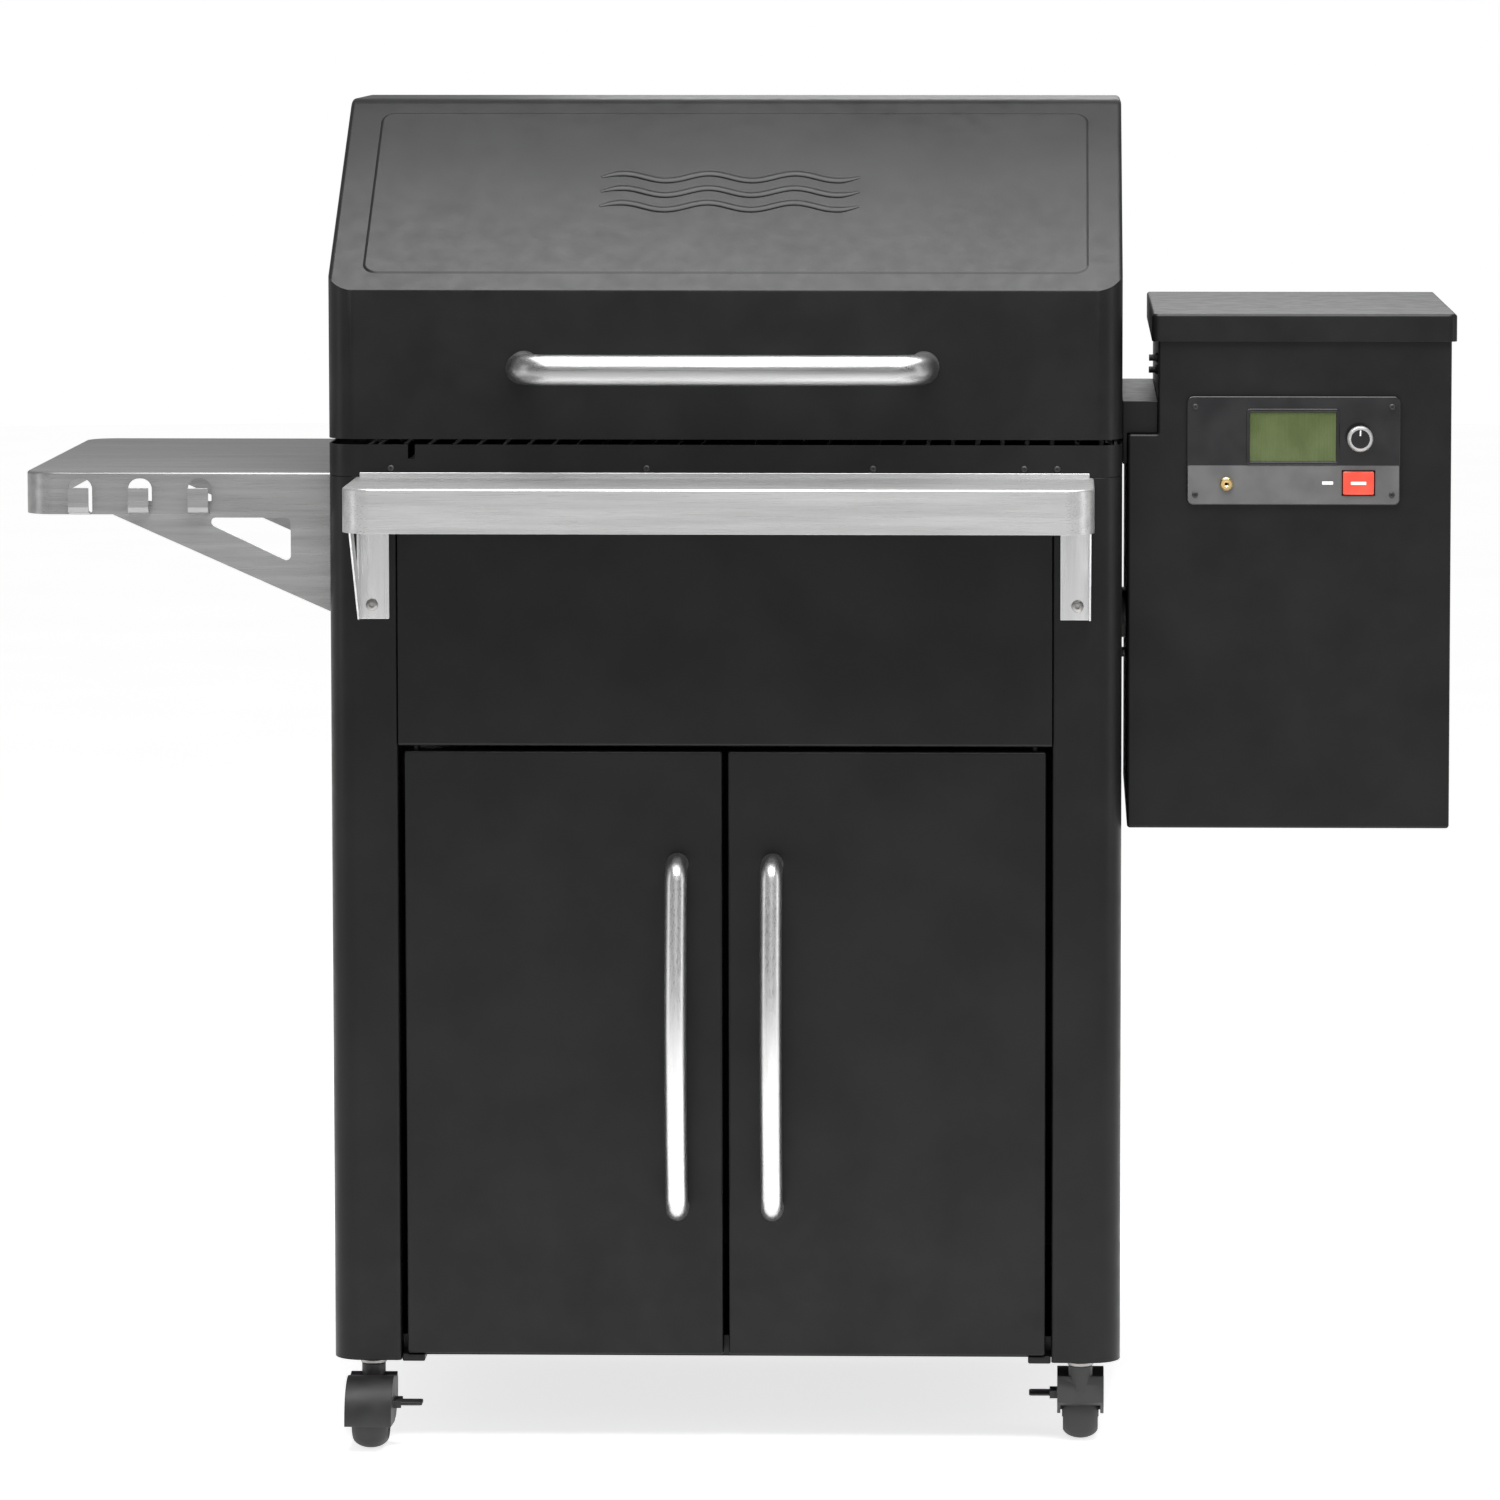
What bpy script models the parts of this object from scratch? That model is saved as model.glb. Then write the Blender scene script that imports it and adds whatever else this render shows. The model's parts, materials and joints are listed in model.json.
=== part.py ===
"""Pellet smoker grill: a lidded barrel on a two-door cabinet with casters, two
stainless shelves and a pellet hopper with its controller on the right.

Design axes: X to the right from the middle of the cabinet, Y backwards from the
cabinet's front plane, Z up from the floor, in metres.  Every piece is parented to
one empty, which moves the design so that the world origin is the middle of the
grill's footprint.
"""

import math

import bmesh
import bpy
from mathutils import Matrix, Vector

# Frame of the whole grill
CENTRE_X = 0.0106
CENTRE_Y = 0.1930

# Sheet metal and clearances
GAP = 0.0003
SHEET = 0.0020
THIN_SHEET = 0.0015

# Cabinet
HALF_WIDTH = 0.3635
DEPTH = 0.5100
CORNER_R = 0.0260
COLUMN_EDGE = 0.3000
COLUMN_RETURN = 0.0220
CABINET_BOTTOM = 0.0780
CABINET_TOP = 0.8965
FASCIA_BOTTOM = 0.6490
FASCIA_TOP = 0.8930
FASCIA_RETURN = 0.0150
FLOOR_FRONT = 0.0260
FLOOR_LIP = 0.0200
BACK_FLANGE_X = 0.3400
BACK_FLANGE_Y = 0.4980
PIVOT_BLOCK_X = (0.2785, 0.2995)
PIVOT_BLOCK_Z = (0.0768, 0.0838)
LOWER_PIN_Z = (0.0800, 0.0930)

# Doors
DOOR_INNER = 0.0027
DOOR_OUTER = 0.2943
DOOR_BOTTOM = 0.0846
DOOR_TOP = 0.6445
DOOR_DEPTH = 0.0200
DOOR_PIVOT_X = 0.2843
DOOR_PIVOT_Y = 0.0110
DOOR_PIN_R = 0.0030
DOOR_HANDLE_X = 0.0435
DOOR_HANDLE_ENDS = (0.2130, 0.5510)
DOOR_HANDLE_R = 0.0100

# Barrel tub and lid
BAND_TOP = 0.9260
BAND_BOTTOM = 0.8968
TUB_X = 0.3520
TUB_FRONT = 0.0300
TUB_BACK = 0.4860
TUB_WALL_END = 0.7150
TUB_BOTTOM = 0.6900
TUB_BASE = (-0.1000, 0.1750, 0.1000, 0.3350)
PROBE_SLOT_LOW = (-0.2892, -0.0100, 0.9130)
PROBE_SLOT_HIGH = (-0.2828, 0.0100, 0.9400)
EXHAUST_X = (-0.190, -0.114, -0.038, 0.038, 0.114, 0.190)
EXHAUST_LOW = (-0.0300, 0.4800, 0.8220)
EXHAUST_HIGH = (0.0300, 0.5150, 0.8420)
VENT_LOW = (-0.2400, 0.5103, 0.8000)
VENT_HIGH = (0.2400, 0.5330, 0.8680)
POT_X = 0.0
POT_Y = 0.2550
POT_R = 0.0550
POT_WALL = 0.0030
POT_BOTTOM = 0.6919
POT_TOP = 0.7760
DRAIN_X = -0.2900
DRAIN_R = 0.0100
SPOUT_R = 0.0130
SPOUT_TOP = 0.7120
SPOUT_BOTTOM = 0.6680
BUCKET_BOTTOM = 0.5625
BUCKET_TOP = 0.6720
BUCKET_BASE_R = 0.0500
BUCKET_RIM_R = 0.0640
BUCKET_BRACKET_TOP = 0.6200
BUCKET_BRACKET_BOTTOM = 0.5605
BUCKET_BRACKET_END = -0.2200
BUCKET_BRACKET_Y = (0.1950, 0.3150)
GRATE_LOW = (-0.3585, 0.0080, 0.8987)
GRATE_HIGH = (0.3585, 0.5000, 0.9047)
GRATE_HOLES = (-0.3500, 0.0180, 0.3500, 0.4900)
RACK_LOW = (-0.3300, 0.3300, 1.0160)
RACK_HIGH = (0.3300, 0.4700, 1.0200)
RACK_HOLES = (-0.3260, 0.3340, 0.3260, 0.4660)
RACK_LEG_X = 0.3250
RACK_LEG_Y = (0.3350, 0.4650)
RACK_LEG_HALF = 0.0030
BAFFLE_HALF = 0.1600
BAFFLE_FLAT_HALF = 0.1100
BAFFLE_Z = (0.6995, 0.8000, 0.8200)
BAFFLE_Y = (0.1550, 0.3550)
TRAY_HALF = 0.3450
TRAY_RIM = 0.8840
TRAY_LOW_END = 0.8480
TRAY_HIGH_END = 0.8660
TRAY_Y = (0.0400, 0.4760)
AUGER_Z = 0.7500
AUGER_TUBE_R = 0.0240
IGNITER_Z = 0.7120
IGNITER_R = 0.0050
FAN_Y = 0.3750
FAN_Z = 0.7600
FAN_R = 0.0400
LID_BOTTOM = 0.9310
LID_CREASE = 1.0670
LID_TOP = 1.2360
LID_BREAK_Y = 0.2520
LID_FRONT_R = 0.0320
LID_BACK_BREAK_Y = 0.4450
LID_BACK_BREAK_Z = 1.0800
LID_BACK_R = 0.0450
LID_BACK = 0.5000
LID_HANDLE_HALF = 0.1965
LID_HANDLE_Z = 0.9980
LID_HANDLE_R = 0.0140
LID_HANDLE_OUT = 0.0650
LID_AXIS_Y = 0.5160
LID_AXIS_Z = 0.9360
LID_HINGE_HALF = 0.1600
LID_HINGE_STRIP_Y = (0.5085, 0.5105)
LID_HINGE_STRIP_Z = (0.9000, 0.9300)
LID_LEAF_Z = (0.9410, 0.9700)
FIXED_KNUCKLES = ((-0.1600, -0.1000), (-0.0300, 0.0300), (0.1000, 0.1600))
LEAF_KNUCKLES = ((-0.0995, -0.0305), (0.0305, 0.0995))

# Shelves
SHELF_HALF = 0.3375
SHELF_FRONT = -0.1470
SHELF_TOP = 0.8965
SHELF_DROP = 0.0405
SHELF_CORNER_R = 0.0270
BRACKET_INNER = 0.3070
BRACKET_OUTER = 0.3350
BRACKET_BOTTOM = 0.7660
BRACKET_FRONT = -0.1180
BRACKET_NOSE = 0.0140
BRACKET_TOE = -0.0120
BRACKET_WINDOW = ((-0.0160, 0.8000), (-0.0160, 0.8740), (-0.0880, 0.8740))
FLANGE_TOP = 0.8800
SIDE_SHELF_END = -0.6490
SIDE_SHELF_FRONT = 0.0500
SIDE_SHELF_BACK = 0.5050
SIDE_SHELF_DROP = 0.0391
SIDE_SHELF_INNER = -0.3638
HOOK_X = (-0.5967, -0.5415, -0.4864)
HOOK_HOLE_HALF = 0.0110
HOOK_HOLE_Z = (0.8590, 0.8907)
HOOK_TONGUE_HALF = 0.0095
SIDE_GUSSET = ((-0.5670, 0.8700), (-0.5670, 0.8574), (-0.3638, 0.7670), (-0.3638, 0.8700))
SIDE_WINDOW = ((-0.4896, 0.8546), (-0.4025, 0.8132), (-0.4025, 0.8546))

# Hopper
HOPPER_LEFT_LOW = 0.3687
HOPPER_LEFT_HIGH = 0.3966
HOPPER_RIGHT = 0.6655
HOPPER_STEP = 0.9330
HOPPER_BOTTOM = 0.5690
HOPPER_TOP = 1.0340
HOPPER_FRONT = 0.0500
HOPPER_BACK = 0.4600
HOPPER_LID_LOW = (0.3906, 0.0445, 1.0186)
HOPPER_LID_HIGH = (0.6702, 0.4645, 1.0440)
HOPPER_AXIS_Y = 0.4700
HOPPER_AXIS_Z = 1.0300
HINGE_KNUCKLE_R = 0.0045
HINGE_PIN_R = 0.0020
HINGE_BORE_R = 0.0025
BOX_KNUCKLES = ((0.4300, 0.4500), (0.6120, 0.6320))
COVER_KNUCKLES = ((0.4505, 0.4700), (0.5920, 0.6115))
HOPPER_PIN_X = (0.4400, 0.6220)
BIN_MOUTH = (0.3986, 0.0522, 0.6635, 0.4578)
BIN_SHOULDER = (0.4050, 0.1050, 0.6570, 0.4500)
BIN_WAIST = (0.4400, 0.1500, 0.6200, 0.4000)
BIN_SPOUT = (0.5000, 0.2350, 0.5600, 0.2750)
BIN_Z = (1.0300, 0.9850, 0.9680, 0.8600, 0.7750)
GUARD_EDGE = (0.4020, 0.0560, 0.6600, 0.4540)
GUARD_Z = (0.9900, 0.9930)
CONNECTOR_Z = (0.9050, 0.9630)
CONNECTOR_Y = (0.0600, 0.4000)
INLET_LOW = (0.5000, 0.4450, 0.6200)
INLET_HIGH = (0.5480, 0.4640, 0.6500)
INLET_WELL_LOW = (0.5060, 0.4500, 0.6255)
INLET_WELL_HIGH = (0.5420, 0.4700, 0.6445)
AUGER_TUBE_X = (0.0590, 0.5700)
AUGER_BORE_R = 0.0218
AUGER_SCREW_X = (0.0600, 0.6000)
AUGER_SCREW_R = 0.0195
AUGER_BLADE_HALF = 0.0055
AUGER_TURNS = 6
MOUTH_X = (0.5050, 0.5550)
MOUTH_HALF = 0.0150
MOTOR_X = (0.6010, 0.6500)
MOTOR_HALF = 0.0300
MOTOR_RISE = 0.0400
MOTOR_CAN_X = 0.6250
MOTOR_CAN_R = 0.0200
MOTOR_CAN_DROP = 0.0600
FAN_HALF = 0.0460
FAN_DEPTH = 0.0300
FAN_HUB_R = 0.0160
FAN_BLADES = 5

# Controller on the hopper's front
PANEL_LOW = (0.4227, 0.0447, 0.8683)
PANEL_HIGH = (0.6186, 0.0497, 0.9684)
CASE_LOW = (0.4320, 0.0490, 0.8760)
CASE_HIGH = (0.6100, 0.0950, 0.9610)
DISPLAY_LOW = (0.4800, 0.0440, 0.9080)
DISPLAY_HIGH = (0.5600, 0.0472, 0.9543)
KNOB_X = 0.5809
KNOB_Z = 0.9307
KNOB_R = 0.0120
STEM_R = 0.0035
BUTTON_LOW = (0.5660, 0.0415, 0.8781)
BUTTON_HIGH = (0.5945, 0.0520, 0.8995)
JACK_X = 0.4590
JACK_Z = 0.8879
JACK_Y = (0.0405, 0.0444)
JACK_R = 0.0060
JACK_STUB_R = 0.0035
JACK_STUB_END = 0.0600
JACK_SOCKET_R = 0.0016
JACK_SOCKET_END = 0.0560

# Casters
CASTER_X = 0.3270
CASTER_FRONT_Y = 0.0140
CASTER_REAR_Y = 0.4800
CASTER_TRAIL = 0.0290
WHEEL_R = 0.0300
WHEEL_HALF_WIDTH = 0.0170
FORK_HALF_WIDTH = 0.0215
AXLE_R = 0.0040
STEM_PLATE_R = 0.0120
STEM_PIN_R = 0.0050
STEM_BORE_R = 0.0056
NECK_R = 0.0110
NECK_Z = (0.0500, 0.0735)
WHEEL_SPACE_R = 0.0325
WHEEL_SPACE_HALF = 0.0185
HOOD_R = 0.0365
SWIVEL_Z = 0.0700
PEDAL_LENGTH = 0.0250
PEDAL_HALF = 0.0080
PEDAL_Z = (0.0400, 0.0440)
PEDAL_PIVOT_IN = 0.0020

# Finishes: base colour, roughness, metallic
FINISHES = {
    "black_coat": ((0.030, 0.030, 0.031), 0.42, 0.0),
    "stainless": ((0.62, 0.62, 0.62), 0.30, 1.0),
    "bare_steel": ((0.36, 0.35, 0.34), 0.45, 1.0),
    "enamel": ((0.020, 0.020, 0.020), 0.30, 0.0),
    "black_plastic": ((0.018, 0.018, 0.019), 0.50, 0.0),
    "gloss_plastic": ((0.012, 0.012, 0.013), 0.15, 0.0),
    "red_plastic": ((0.72, 0.060, 0.030), 0.35, 0.0),
    "display_glass": ((0.16, 0.21, 0.08), 0.12, 0.0),
    "brass": ((0.74, 0.52, 0.22), 0.28, 1.0),
    "caster_rubber": ((0.012, 0.012, 0.012), 0.70, 0.0),
}


# ---------------------------------------------------------------- scene helpers
def clear_scene():
    for obj in list(bpy.data.objects):
        bpy.data.objects.remove(obj, do_unlink=True)


def new_collection(name):
    collection = bpy.data.collections.new(name)
    bpy.context.scene.collection.children.link(collection)
    return collection


def finish_material(node_name, finish):
    """The node's own Principled material."""
    colour, roughness, metallic = FINISHES[finish]
    material = bpy.data.materials.new(node_name + "_" + finish)
    material.use_nodes = True
    shader = material.node_tree.nodes["Principled BSDF"]
    shader.inputs["Base Color"].default_value = (*colour, 1.0)
    shader.inputs["Roughness"].default_value = roughness
    shader.inputs["Metallic"].default_value = metallic
    material.diffuse_color = (*colour, 1.0)
    return material


clear_scene()
PARTS = new_collection("pellet_smoker_grill")
TOOLS = new_collection("cutters_and_joiners")
FRAME = bpy.data.objects.new("grill_frame", None)
FRAME.location = (-CENTRE_X, -CENTRE_Y, 0.0)
PARTS.objects.link(FRAME)


def to_object(name, bm, collection, origin):
    """Turn a bmesh in design coordinates into an object whose origin is given."""
    bmesh.ops.translate(bm, vec=-Vector(origin), verts=bm.verts)
    mesh = bpy.data.meshes.new(name)
    bm.to_mesh(mesh)
    bm.free()
    obj = bpy.data.objects.new(name, mesh)
    obj.location = origin
    obj.parent = FRAME
    collection.objects.link(obj)
    return obj


def add_part(name, bm, finish, origin=(0.0, 0.0, 0.0)):
    """A named piece of the grill."""
    obj = to_object(name, bm, PARTS, origin)
    obj.data.materials.append(finish_material(name, finish))
    obj.data.shade_smooth()
    obj.data.set_sharp_from_angle(angle=math.radians(35.0))
    return obj


def add_tool(name, bm):
    """A helper body for a Boolean, never a piece of the grill."""
    obj = to_object(name, bm, TOOLS, (0.0, 0.0, 0.0))
    obj.hide_render = True
    obj.display_type = "WIRE"
    return obj


def boolean(obj, tool, operation):
    modifier = obj.modifiers.new(tool.name, "BOOLEAN")
    modifier.operation = operation
    modifier.solver = "EXACT"
    modifier.object = tool


def cut(obj, *tools):
    for tool in tools:
        boolean(obj, tool, "DIFFERENCE")


def join(obj, *tools):
    for tool in tools:
        boolean(obj, tool, "UNION")


def make_shell(obj, thickness):
    """Give an open surface its sheet thickness, inwards."""
    modifier = obj.modifiers.new("sheet", "SOLIDIFY")
    modifier.thickness = thickness
    modifier.offset = -1.0
    modifier.use_even_offset = True


def soften(obj, width, segments=1):
    modifier = obj.modifiers.new("edges", "BEVEL")
    modifier.width = width
    modifier.segments = segments
    modifier.limit_method = "ANGLE"


# --------------------------------------------------------------- shape helpers
def box(low, high):
    """Solid block between two corners."""
    bm = bmesh.new()
    bmesh.ops.create_cube(bm, size=1.0)
    low = Vector(low)
    size = Vector(high) - low
    for vert in bm.verts:
        vert.co = low + Vector((c + 0.5) * s for c, s in zip(vert.co, size))
    return bm


def rod(start, end, radius, segments=16):
    """Solid cylinder between two points."""
    start = Vector(start)
    end = Vector(end)
    bm = bmesh.new()
    bmesh.ops.create_cone(
        bm,
        cap_ends=True,
        segments=segments,
        radius1=radius,
        radius2=radius,
        depth=(end - start).length,
    )
    turn = Vector((0.0, 0.0, 1.0)).rotation_difference(end - start).to_matrix().to_4x4()
    bmesh.ops.transform(bm, matrix=Matrix.Translation((start + end) / 2) @ turn, verts=bm.verts)
    return bm


def merged(*meshes):
    """Several separate bodies in one bmesh, for a tool that cuts in many places."""
    result = bmesh.new()
    for part in meshes:
        scratch = bpy.data.meshes.new("scratch")
        part.to_mesh(scratch)
        part.free()
        result.from_mesh(scratch)
        bpy.data.meshes.remove(scratch)
    return result


def on_axis(axis, along, u, v):
    """Point from a distance along one axis and the two other coordinates."""
    return {"X": (along, u, v), "Y": (u, along, v), "Z": (u, v, along)}[axis]


def arc_corner(before, corner, after, radius, steps):
    """Points of the arc that rounds one corner of an outline."""
    before, corner, after = Vector(before), Vector(corner), Vector(after)
    to_before = (before - corner).normalized()
    to_after = (after - corner).normalized()
    half = to_before.angle(to_after) / 2
    centre = corner + (to_before + to_after).normalized() * (radius / math.sin(half))
    first = corner + to_before * (radius / math.tan(half)) - centre
    last = corner + to_after * (radius / math.tan(half)) - centre
    start = math.atan2(first.y, first.x)
    sweep = math.atan2(last.y, last.x) - start
    sweep = (sweep + math.pi) % (2 * math.pi) - math.pi
    angles = [start + sweep * k / steps for k in range(steps + 1)]
    return [(centre.x + radius * math.cos(a), centre.y + radius * math.sin(a)) for a in angles]


def rounded(points, radii, steps=4, closed=True):
    """Outline whose corners have the given radii; a zero radius stays sharp."""
    result = []
    count = len(points)
    for index, (point, radius) in enumerate(zip(points, radii)):
        is_end = not closed and index in (0, count - 1)
        if radius == 0 or is_end:
            result.append(point)
        else:
            after = points[(index + 1) % count]
            result += arc_corner(points[index - 1], point, after, radius, steps)
    return result


def rectangle(low_u, low_v, high_u, high_v, radii=(0, 0, 0, 0), steps=4):
    """Counter-clockwise rectangle from its low corner, with a radius at each corner."""
    corners = [(low_u, low_v), (high_u, low_v), (high_u, high_v), (low_u, high_v)]
    return rounded(corners, radii, steps)


def prism(outline, axis, start, end):
    """Solid with the given section, run along one axis."""
    bm = bmesh.new()
    face = bm.faces.new([bm.verts.new(on_axis(axis, start, u, v)) for u, v in outline])
    top = bmesh.ops.extrude_face_region(bm, geom=[face])["geom"]
    moved = [item for item in top if isinstance(item, bmesh.types.BMVert)]
    bmesh.ops.translate(bm, vec=on_axis(axis, end - start, 0.0, 0.0), verts=moved)
    bmesh.ops.recalc_face_normals(bm, faces=bm.faces)
    return bm


def open_towards(bm, *directions):
    """Delete the flat faces that look in the given directions."""
    bm.normal_update()
    doomed = [f for f in bm.faces if any(f.normal.dot(Vector(d)) > 0.999 for d in directions)]
    bmesh.ops.delete(bm, geom=doomed, context="FACES")
    return bm


def folded(path, axis, start, end):
    """Open surface of a folded sheet; its outside is on the right of the path."""
    if axis == "Y":
        start, end = end, start
    bm = bmesh.new()
    near = [bm.verts.new(on_axis(axis, start, u, v)) for u, v in path]
    far = [bm.verts.new(on_axis(axis, end, u, v)) for u, v in path]
    for i in range(len(path) - 1):
        bm.faces.new((near[i], near[i + 1], far[i + 1], far[i]))
    return bm


def mirrored(path):
    """A plan path on the other side of the grill, still with its outside on the right."""
    return [(-u, v) for u, v in reversed(path)]


def lofted(rings, close_bottom):
    """Open surface down through plan rings of equal point count."""
    bm = bmesh.new()
    loops = [[bm.verts.new((x, y, z)) for x, y in ring] for ring, z in rings]
    for upper, lower in zip(loops, loops[1:]):
        for i in range(len(upper)):
            j = (i + 1) % len(upper)
            bm.faces.new((upper[i], lower[i], lower[j], upper[j]))
    if close_bottom:
        bm.faces.new(list(reversed(loops[-1])))
    return bm


def plate(outline, holes, axis, start, end):
    """Flat sheet with holes, from a filled 2D curve, as a bmesh."""
    curve = bpy.data.curves.new("plate", "CURVE")
    curve.dimensions = "2D"
    curve.fill_mode = "BOTH"
    curve.extrude = (end - start) / 2
    for loop in [outline, *holes]:
        spline = curve.splines.new("POLY")
        spline.points.add(len(loop) - 1)
        spline.use_cyclic_u = True
        for point, (u, v) in zip(spline.points, loop):
            point.co = (u, v, 0.0, 1.0)
    return curve_to_bmesh(curve, plate_matrix(axis, (start + end) / 2))


def plate_matrix(axis, middle):
    """Stand a flat XY drawing across the given axis."""
    columns = {
        "X": ((0, 1, 0), (0, 0, 1), (1, 0, 0)),
        "Y": ((1, 0, 0), (0, 0, 1), (0, -1, 0)),
        "Z": ((1, 0, 0), (0, 1, 0), (0, 0, 1)),
    }[axis]
    turn = Matrix(columns).transposed().to_4x4()
    return Matrix.Translation(on_axis(axis, middle, 0.0, 0.0)) @ turn


def curve_to_bmesh(curve, matrix):
    """Evaluate a curve as a welded mesh and remove the curve."""
    obj = bpy.data.objects.new(curve.name, curve)
    TOOLS.objects.link(obj)
    graph = bpy.context.evaluated_depsgraph_get()
    mesh = bpy.data.meshes.new_from_object(obj.evaluated_get(graph))
    bpy.data.objects.remove(obj)
    bm = bmesh.new()
    bm.from_mesh(mesh)
    bpy.data.meshes.remove(mesh)
    bmesh.ops.remove_doubles(bm, verts=bm.verts, dist=0.00001)
    bmesh.ops.transform(bm, matrix=matrix, verts=bm.verts)
    bmesh.ops.recalc_face_normals(bm, faces=bm.faces)
    return bm


def tube(points, radius):
    """Round bar along a list of points."""
    curve = bpy.data.curves.new("tube", "CURVE")
    curve.dimensions = "3D"
    curve.bevel_depth = radius
    curve.bevel_resolution = 2
    curve.use_fill_caps = True
    spline = curve.splines.new("POLY")
    spline.points.add(len(points) - 1)
    for item, point in zip(spline.points, points):
        item.co = (*point, 1.0)
    return curve_to_bmesh(curve, Matrix())


def turned(profile, segments=24):
    """Body of revolution about Z from (radius, height) points run down the outside.

    The profile is closed, or ends on the axis at both ends.
    """
    bm = bmesh.new()
    verts = [bm.verts.new((r, 0.0, z)) for r, z in profile]
    edges = [bm.edges.new(pair) for pair in zip(verts, verts[1:])]
    if profile[0][0] > 0:
        edges.append(bm.edges.new((verts[-1], verts[0])))
    bmesh.ops.spin(
        bm,
        geom=[*verts, *edges],
        axis=(0.0, 0.0, 1.0),
        cent=(0.0, 0.0, 0.0),
        angle=2 * math.pi,
        steps=segments,
    )
    bmesh.ops.remove_doubles(bm, verts=bm.verts, dist=0.00001)
    bmesh.ops.recalc_face_normals(bm, faces=bm.faces)
    return bm


def moved(bm, offset, turn=None):
    """Turn a bmesh about the origin, then shift it."""
    matrix = Matrix.Translation(offset)
    if turn is not None:
        matrix = matrix @ turn
    bmesh.ops.transform(bm, matrix=matrix, verts=bm.verts)
    return bm


# ------------------------------------------------------------- shared cutters
def passage(name, y, z, radius, start, end):
    return add_tool(name, rod((start, y, z), (end, y, z), radius, 20))


AUGER_PASSAGE = passage("auger_passage", POT_Y, AUGER_Z, AUGER_TUBE_R + 0.0005, 0.030, 0.400)
IGNITER_PASSAGE = passage("igniter_passage", POT_Y, IGNITER_Z, IGNITER_R + 0.0005, 0.030, 0.400)
AIR_PASSAGE = passage("air_passage", FAN_Y, FAN_Z, FAN_R, 0.330, 0.3708)
EXHAUST_SLOTS = add_tool(
    "exhaust_slots",
    merged(*[moved(box(EXHAUST_LOW, EXHAUST_HIGH), (x, 0.0, 0.0)) for x in EXHAUST_X]),
)


# ------------------------------------------------------------------- cabinet
def side_panels():
    """Each side sheet wraps round the front as a column and turns in at the back."""
    corners = [
        (COLUMN_EDGE, COLUMN_RETURN),
        (COLUMN_EDGE, 0.0),
        (HALF_WIDTH, 0.0),
        (HALF_WIDTH, DEPTH),
        (BACK_FLANGE_X, DEPTH),
    ]
    path = rounded(corners, [0, 0.0035, CORNER_R, 0.004, 0], steps=5, closed=False)
    for name, outline in (("side_panel_left", mirrored(path)), ("side_panel_right", path)):
        panel = add_part(name, folded(outline, "Z", CABINET_BOTTOM, CABINET_TOP), "black_coat")
        make_shell(panel, SHEET)
        if name == "side_panel_right":
            cut(panel, AUGER_PASSAGE, IGNITER_PASSAGE, AIR_PASSAGE)


def front_fascia():
    """Panel above the doors; its lower fold carries the upper door pins."""
    path = [(FASCIA_RETURN, FASCIA_TOP), (0.0, FASCIA_TOP), (0.0, FASCIA_BOTTOM),
            (FASCIA_RETURN, FASCIA_BOTTOM)]
    path = rounded(path, [0, 0.003, 0.003, 0], steps=2, closed=False)
    edge = COLUMN_EDGE - GAP
    fascia = add_part("front_fascia", folded(path, "X", -edge, edge), "black_coat")
    make_shell(fascia, THIN_SHEET)
    for side in (-1, 1):
        pin = rod(
            (side * DOOR_PIVOT_X, DOOR_PIVOT_Y, DOOR_TOP - 0.008),
            (side * DOOR_PIVOT_X, DOOR_PIVOT_Y, FASCIA_BOTTOM + 0.001),
            DOOR_PIN_R,
            12,
        )
        join(fascia, add_tool("upper_door_pin", pin))


def back_panel():
    """Back sheet between the side panels' flanges, with its ends folded forwards."""
    edge = BACK_FLANGE_X - GAP
    path = [(edge, BACK_FLANGE_Y), (edge, DEPTH), (-edge, DEPTH), (-edge, BACK_FLANGE_Y)]
    low, high = CABINET_BOTTOM + 0.0005, CABINET_TOP - 0.0005
    panel = add_part("back_panel", folded(path, "Z", low, high), "black_coat")
    make_shell(panel, THIN_SHEET)
    cut(panel, EXHAUST_SLOTS)


def floor_panel():
    """Cabinet floor tray with a tab into each hollow column for the caster stems."""
    tab = COLUMN_EDGE + SHEET + GAP
    outer = HALF_WIDTH - SHEET - GAP
    tab_front = SHEET + GAP
    half = [(tab, FLOOR_FRONT), (tab, tab_front), (outer, tab_front), (outer, BACK_FLANGE_Y - 0.0005)]
    radii = [0, 0.0035, CORNER_R + 0.001, 0]
    left = [(-u, v) for u, v in reversed(half)]
    outline = rounded(half + left, radii + radii[::-1], steps=4)
    bm = prism(outline, "Z", CABINET_BOTTOM + 0.0005, CABINET_BOTTOM + FLOOR_LIP)
    open_towards(bm, (0, 0, 1))
    floor = add_part("floor_panel", bm, "black_coat")
    make_shell(floor, THIN_SHEET)


def door_pivots():
    """Lower pivot blocks under the doors' outer corners, each with its pin."""
    for side, name in ((-1, "door_pivot_left"), (1, "door_pivot_right")):
        low_x, high_x = sorted(side * x for x in PIVOT_BLOCK_X)
        block = box((low_x, SHEET, PIVOT_BLOCK_Z[0]), (high_x, FLOOR_FRONT - GAP, PIVOT_BLOCK_Z[1]))
        pivot = add_part(name, block, "black_coat")
        soften(pivot, 0.0010)
        pin = rod(
            (side * DOOR_PIVOT_X, DOOR_PIVOT_Y, LOWER_PIN_Z[0]),
            (side * DOOR_PIVOT_X, DOOR_PIVOT_Y, LOWER_PIN_Z[1]),
            DOOR_PIN_R,
            12,
        )
        join(pivot, add_tool(name + "_pin", pin))


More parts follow.
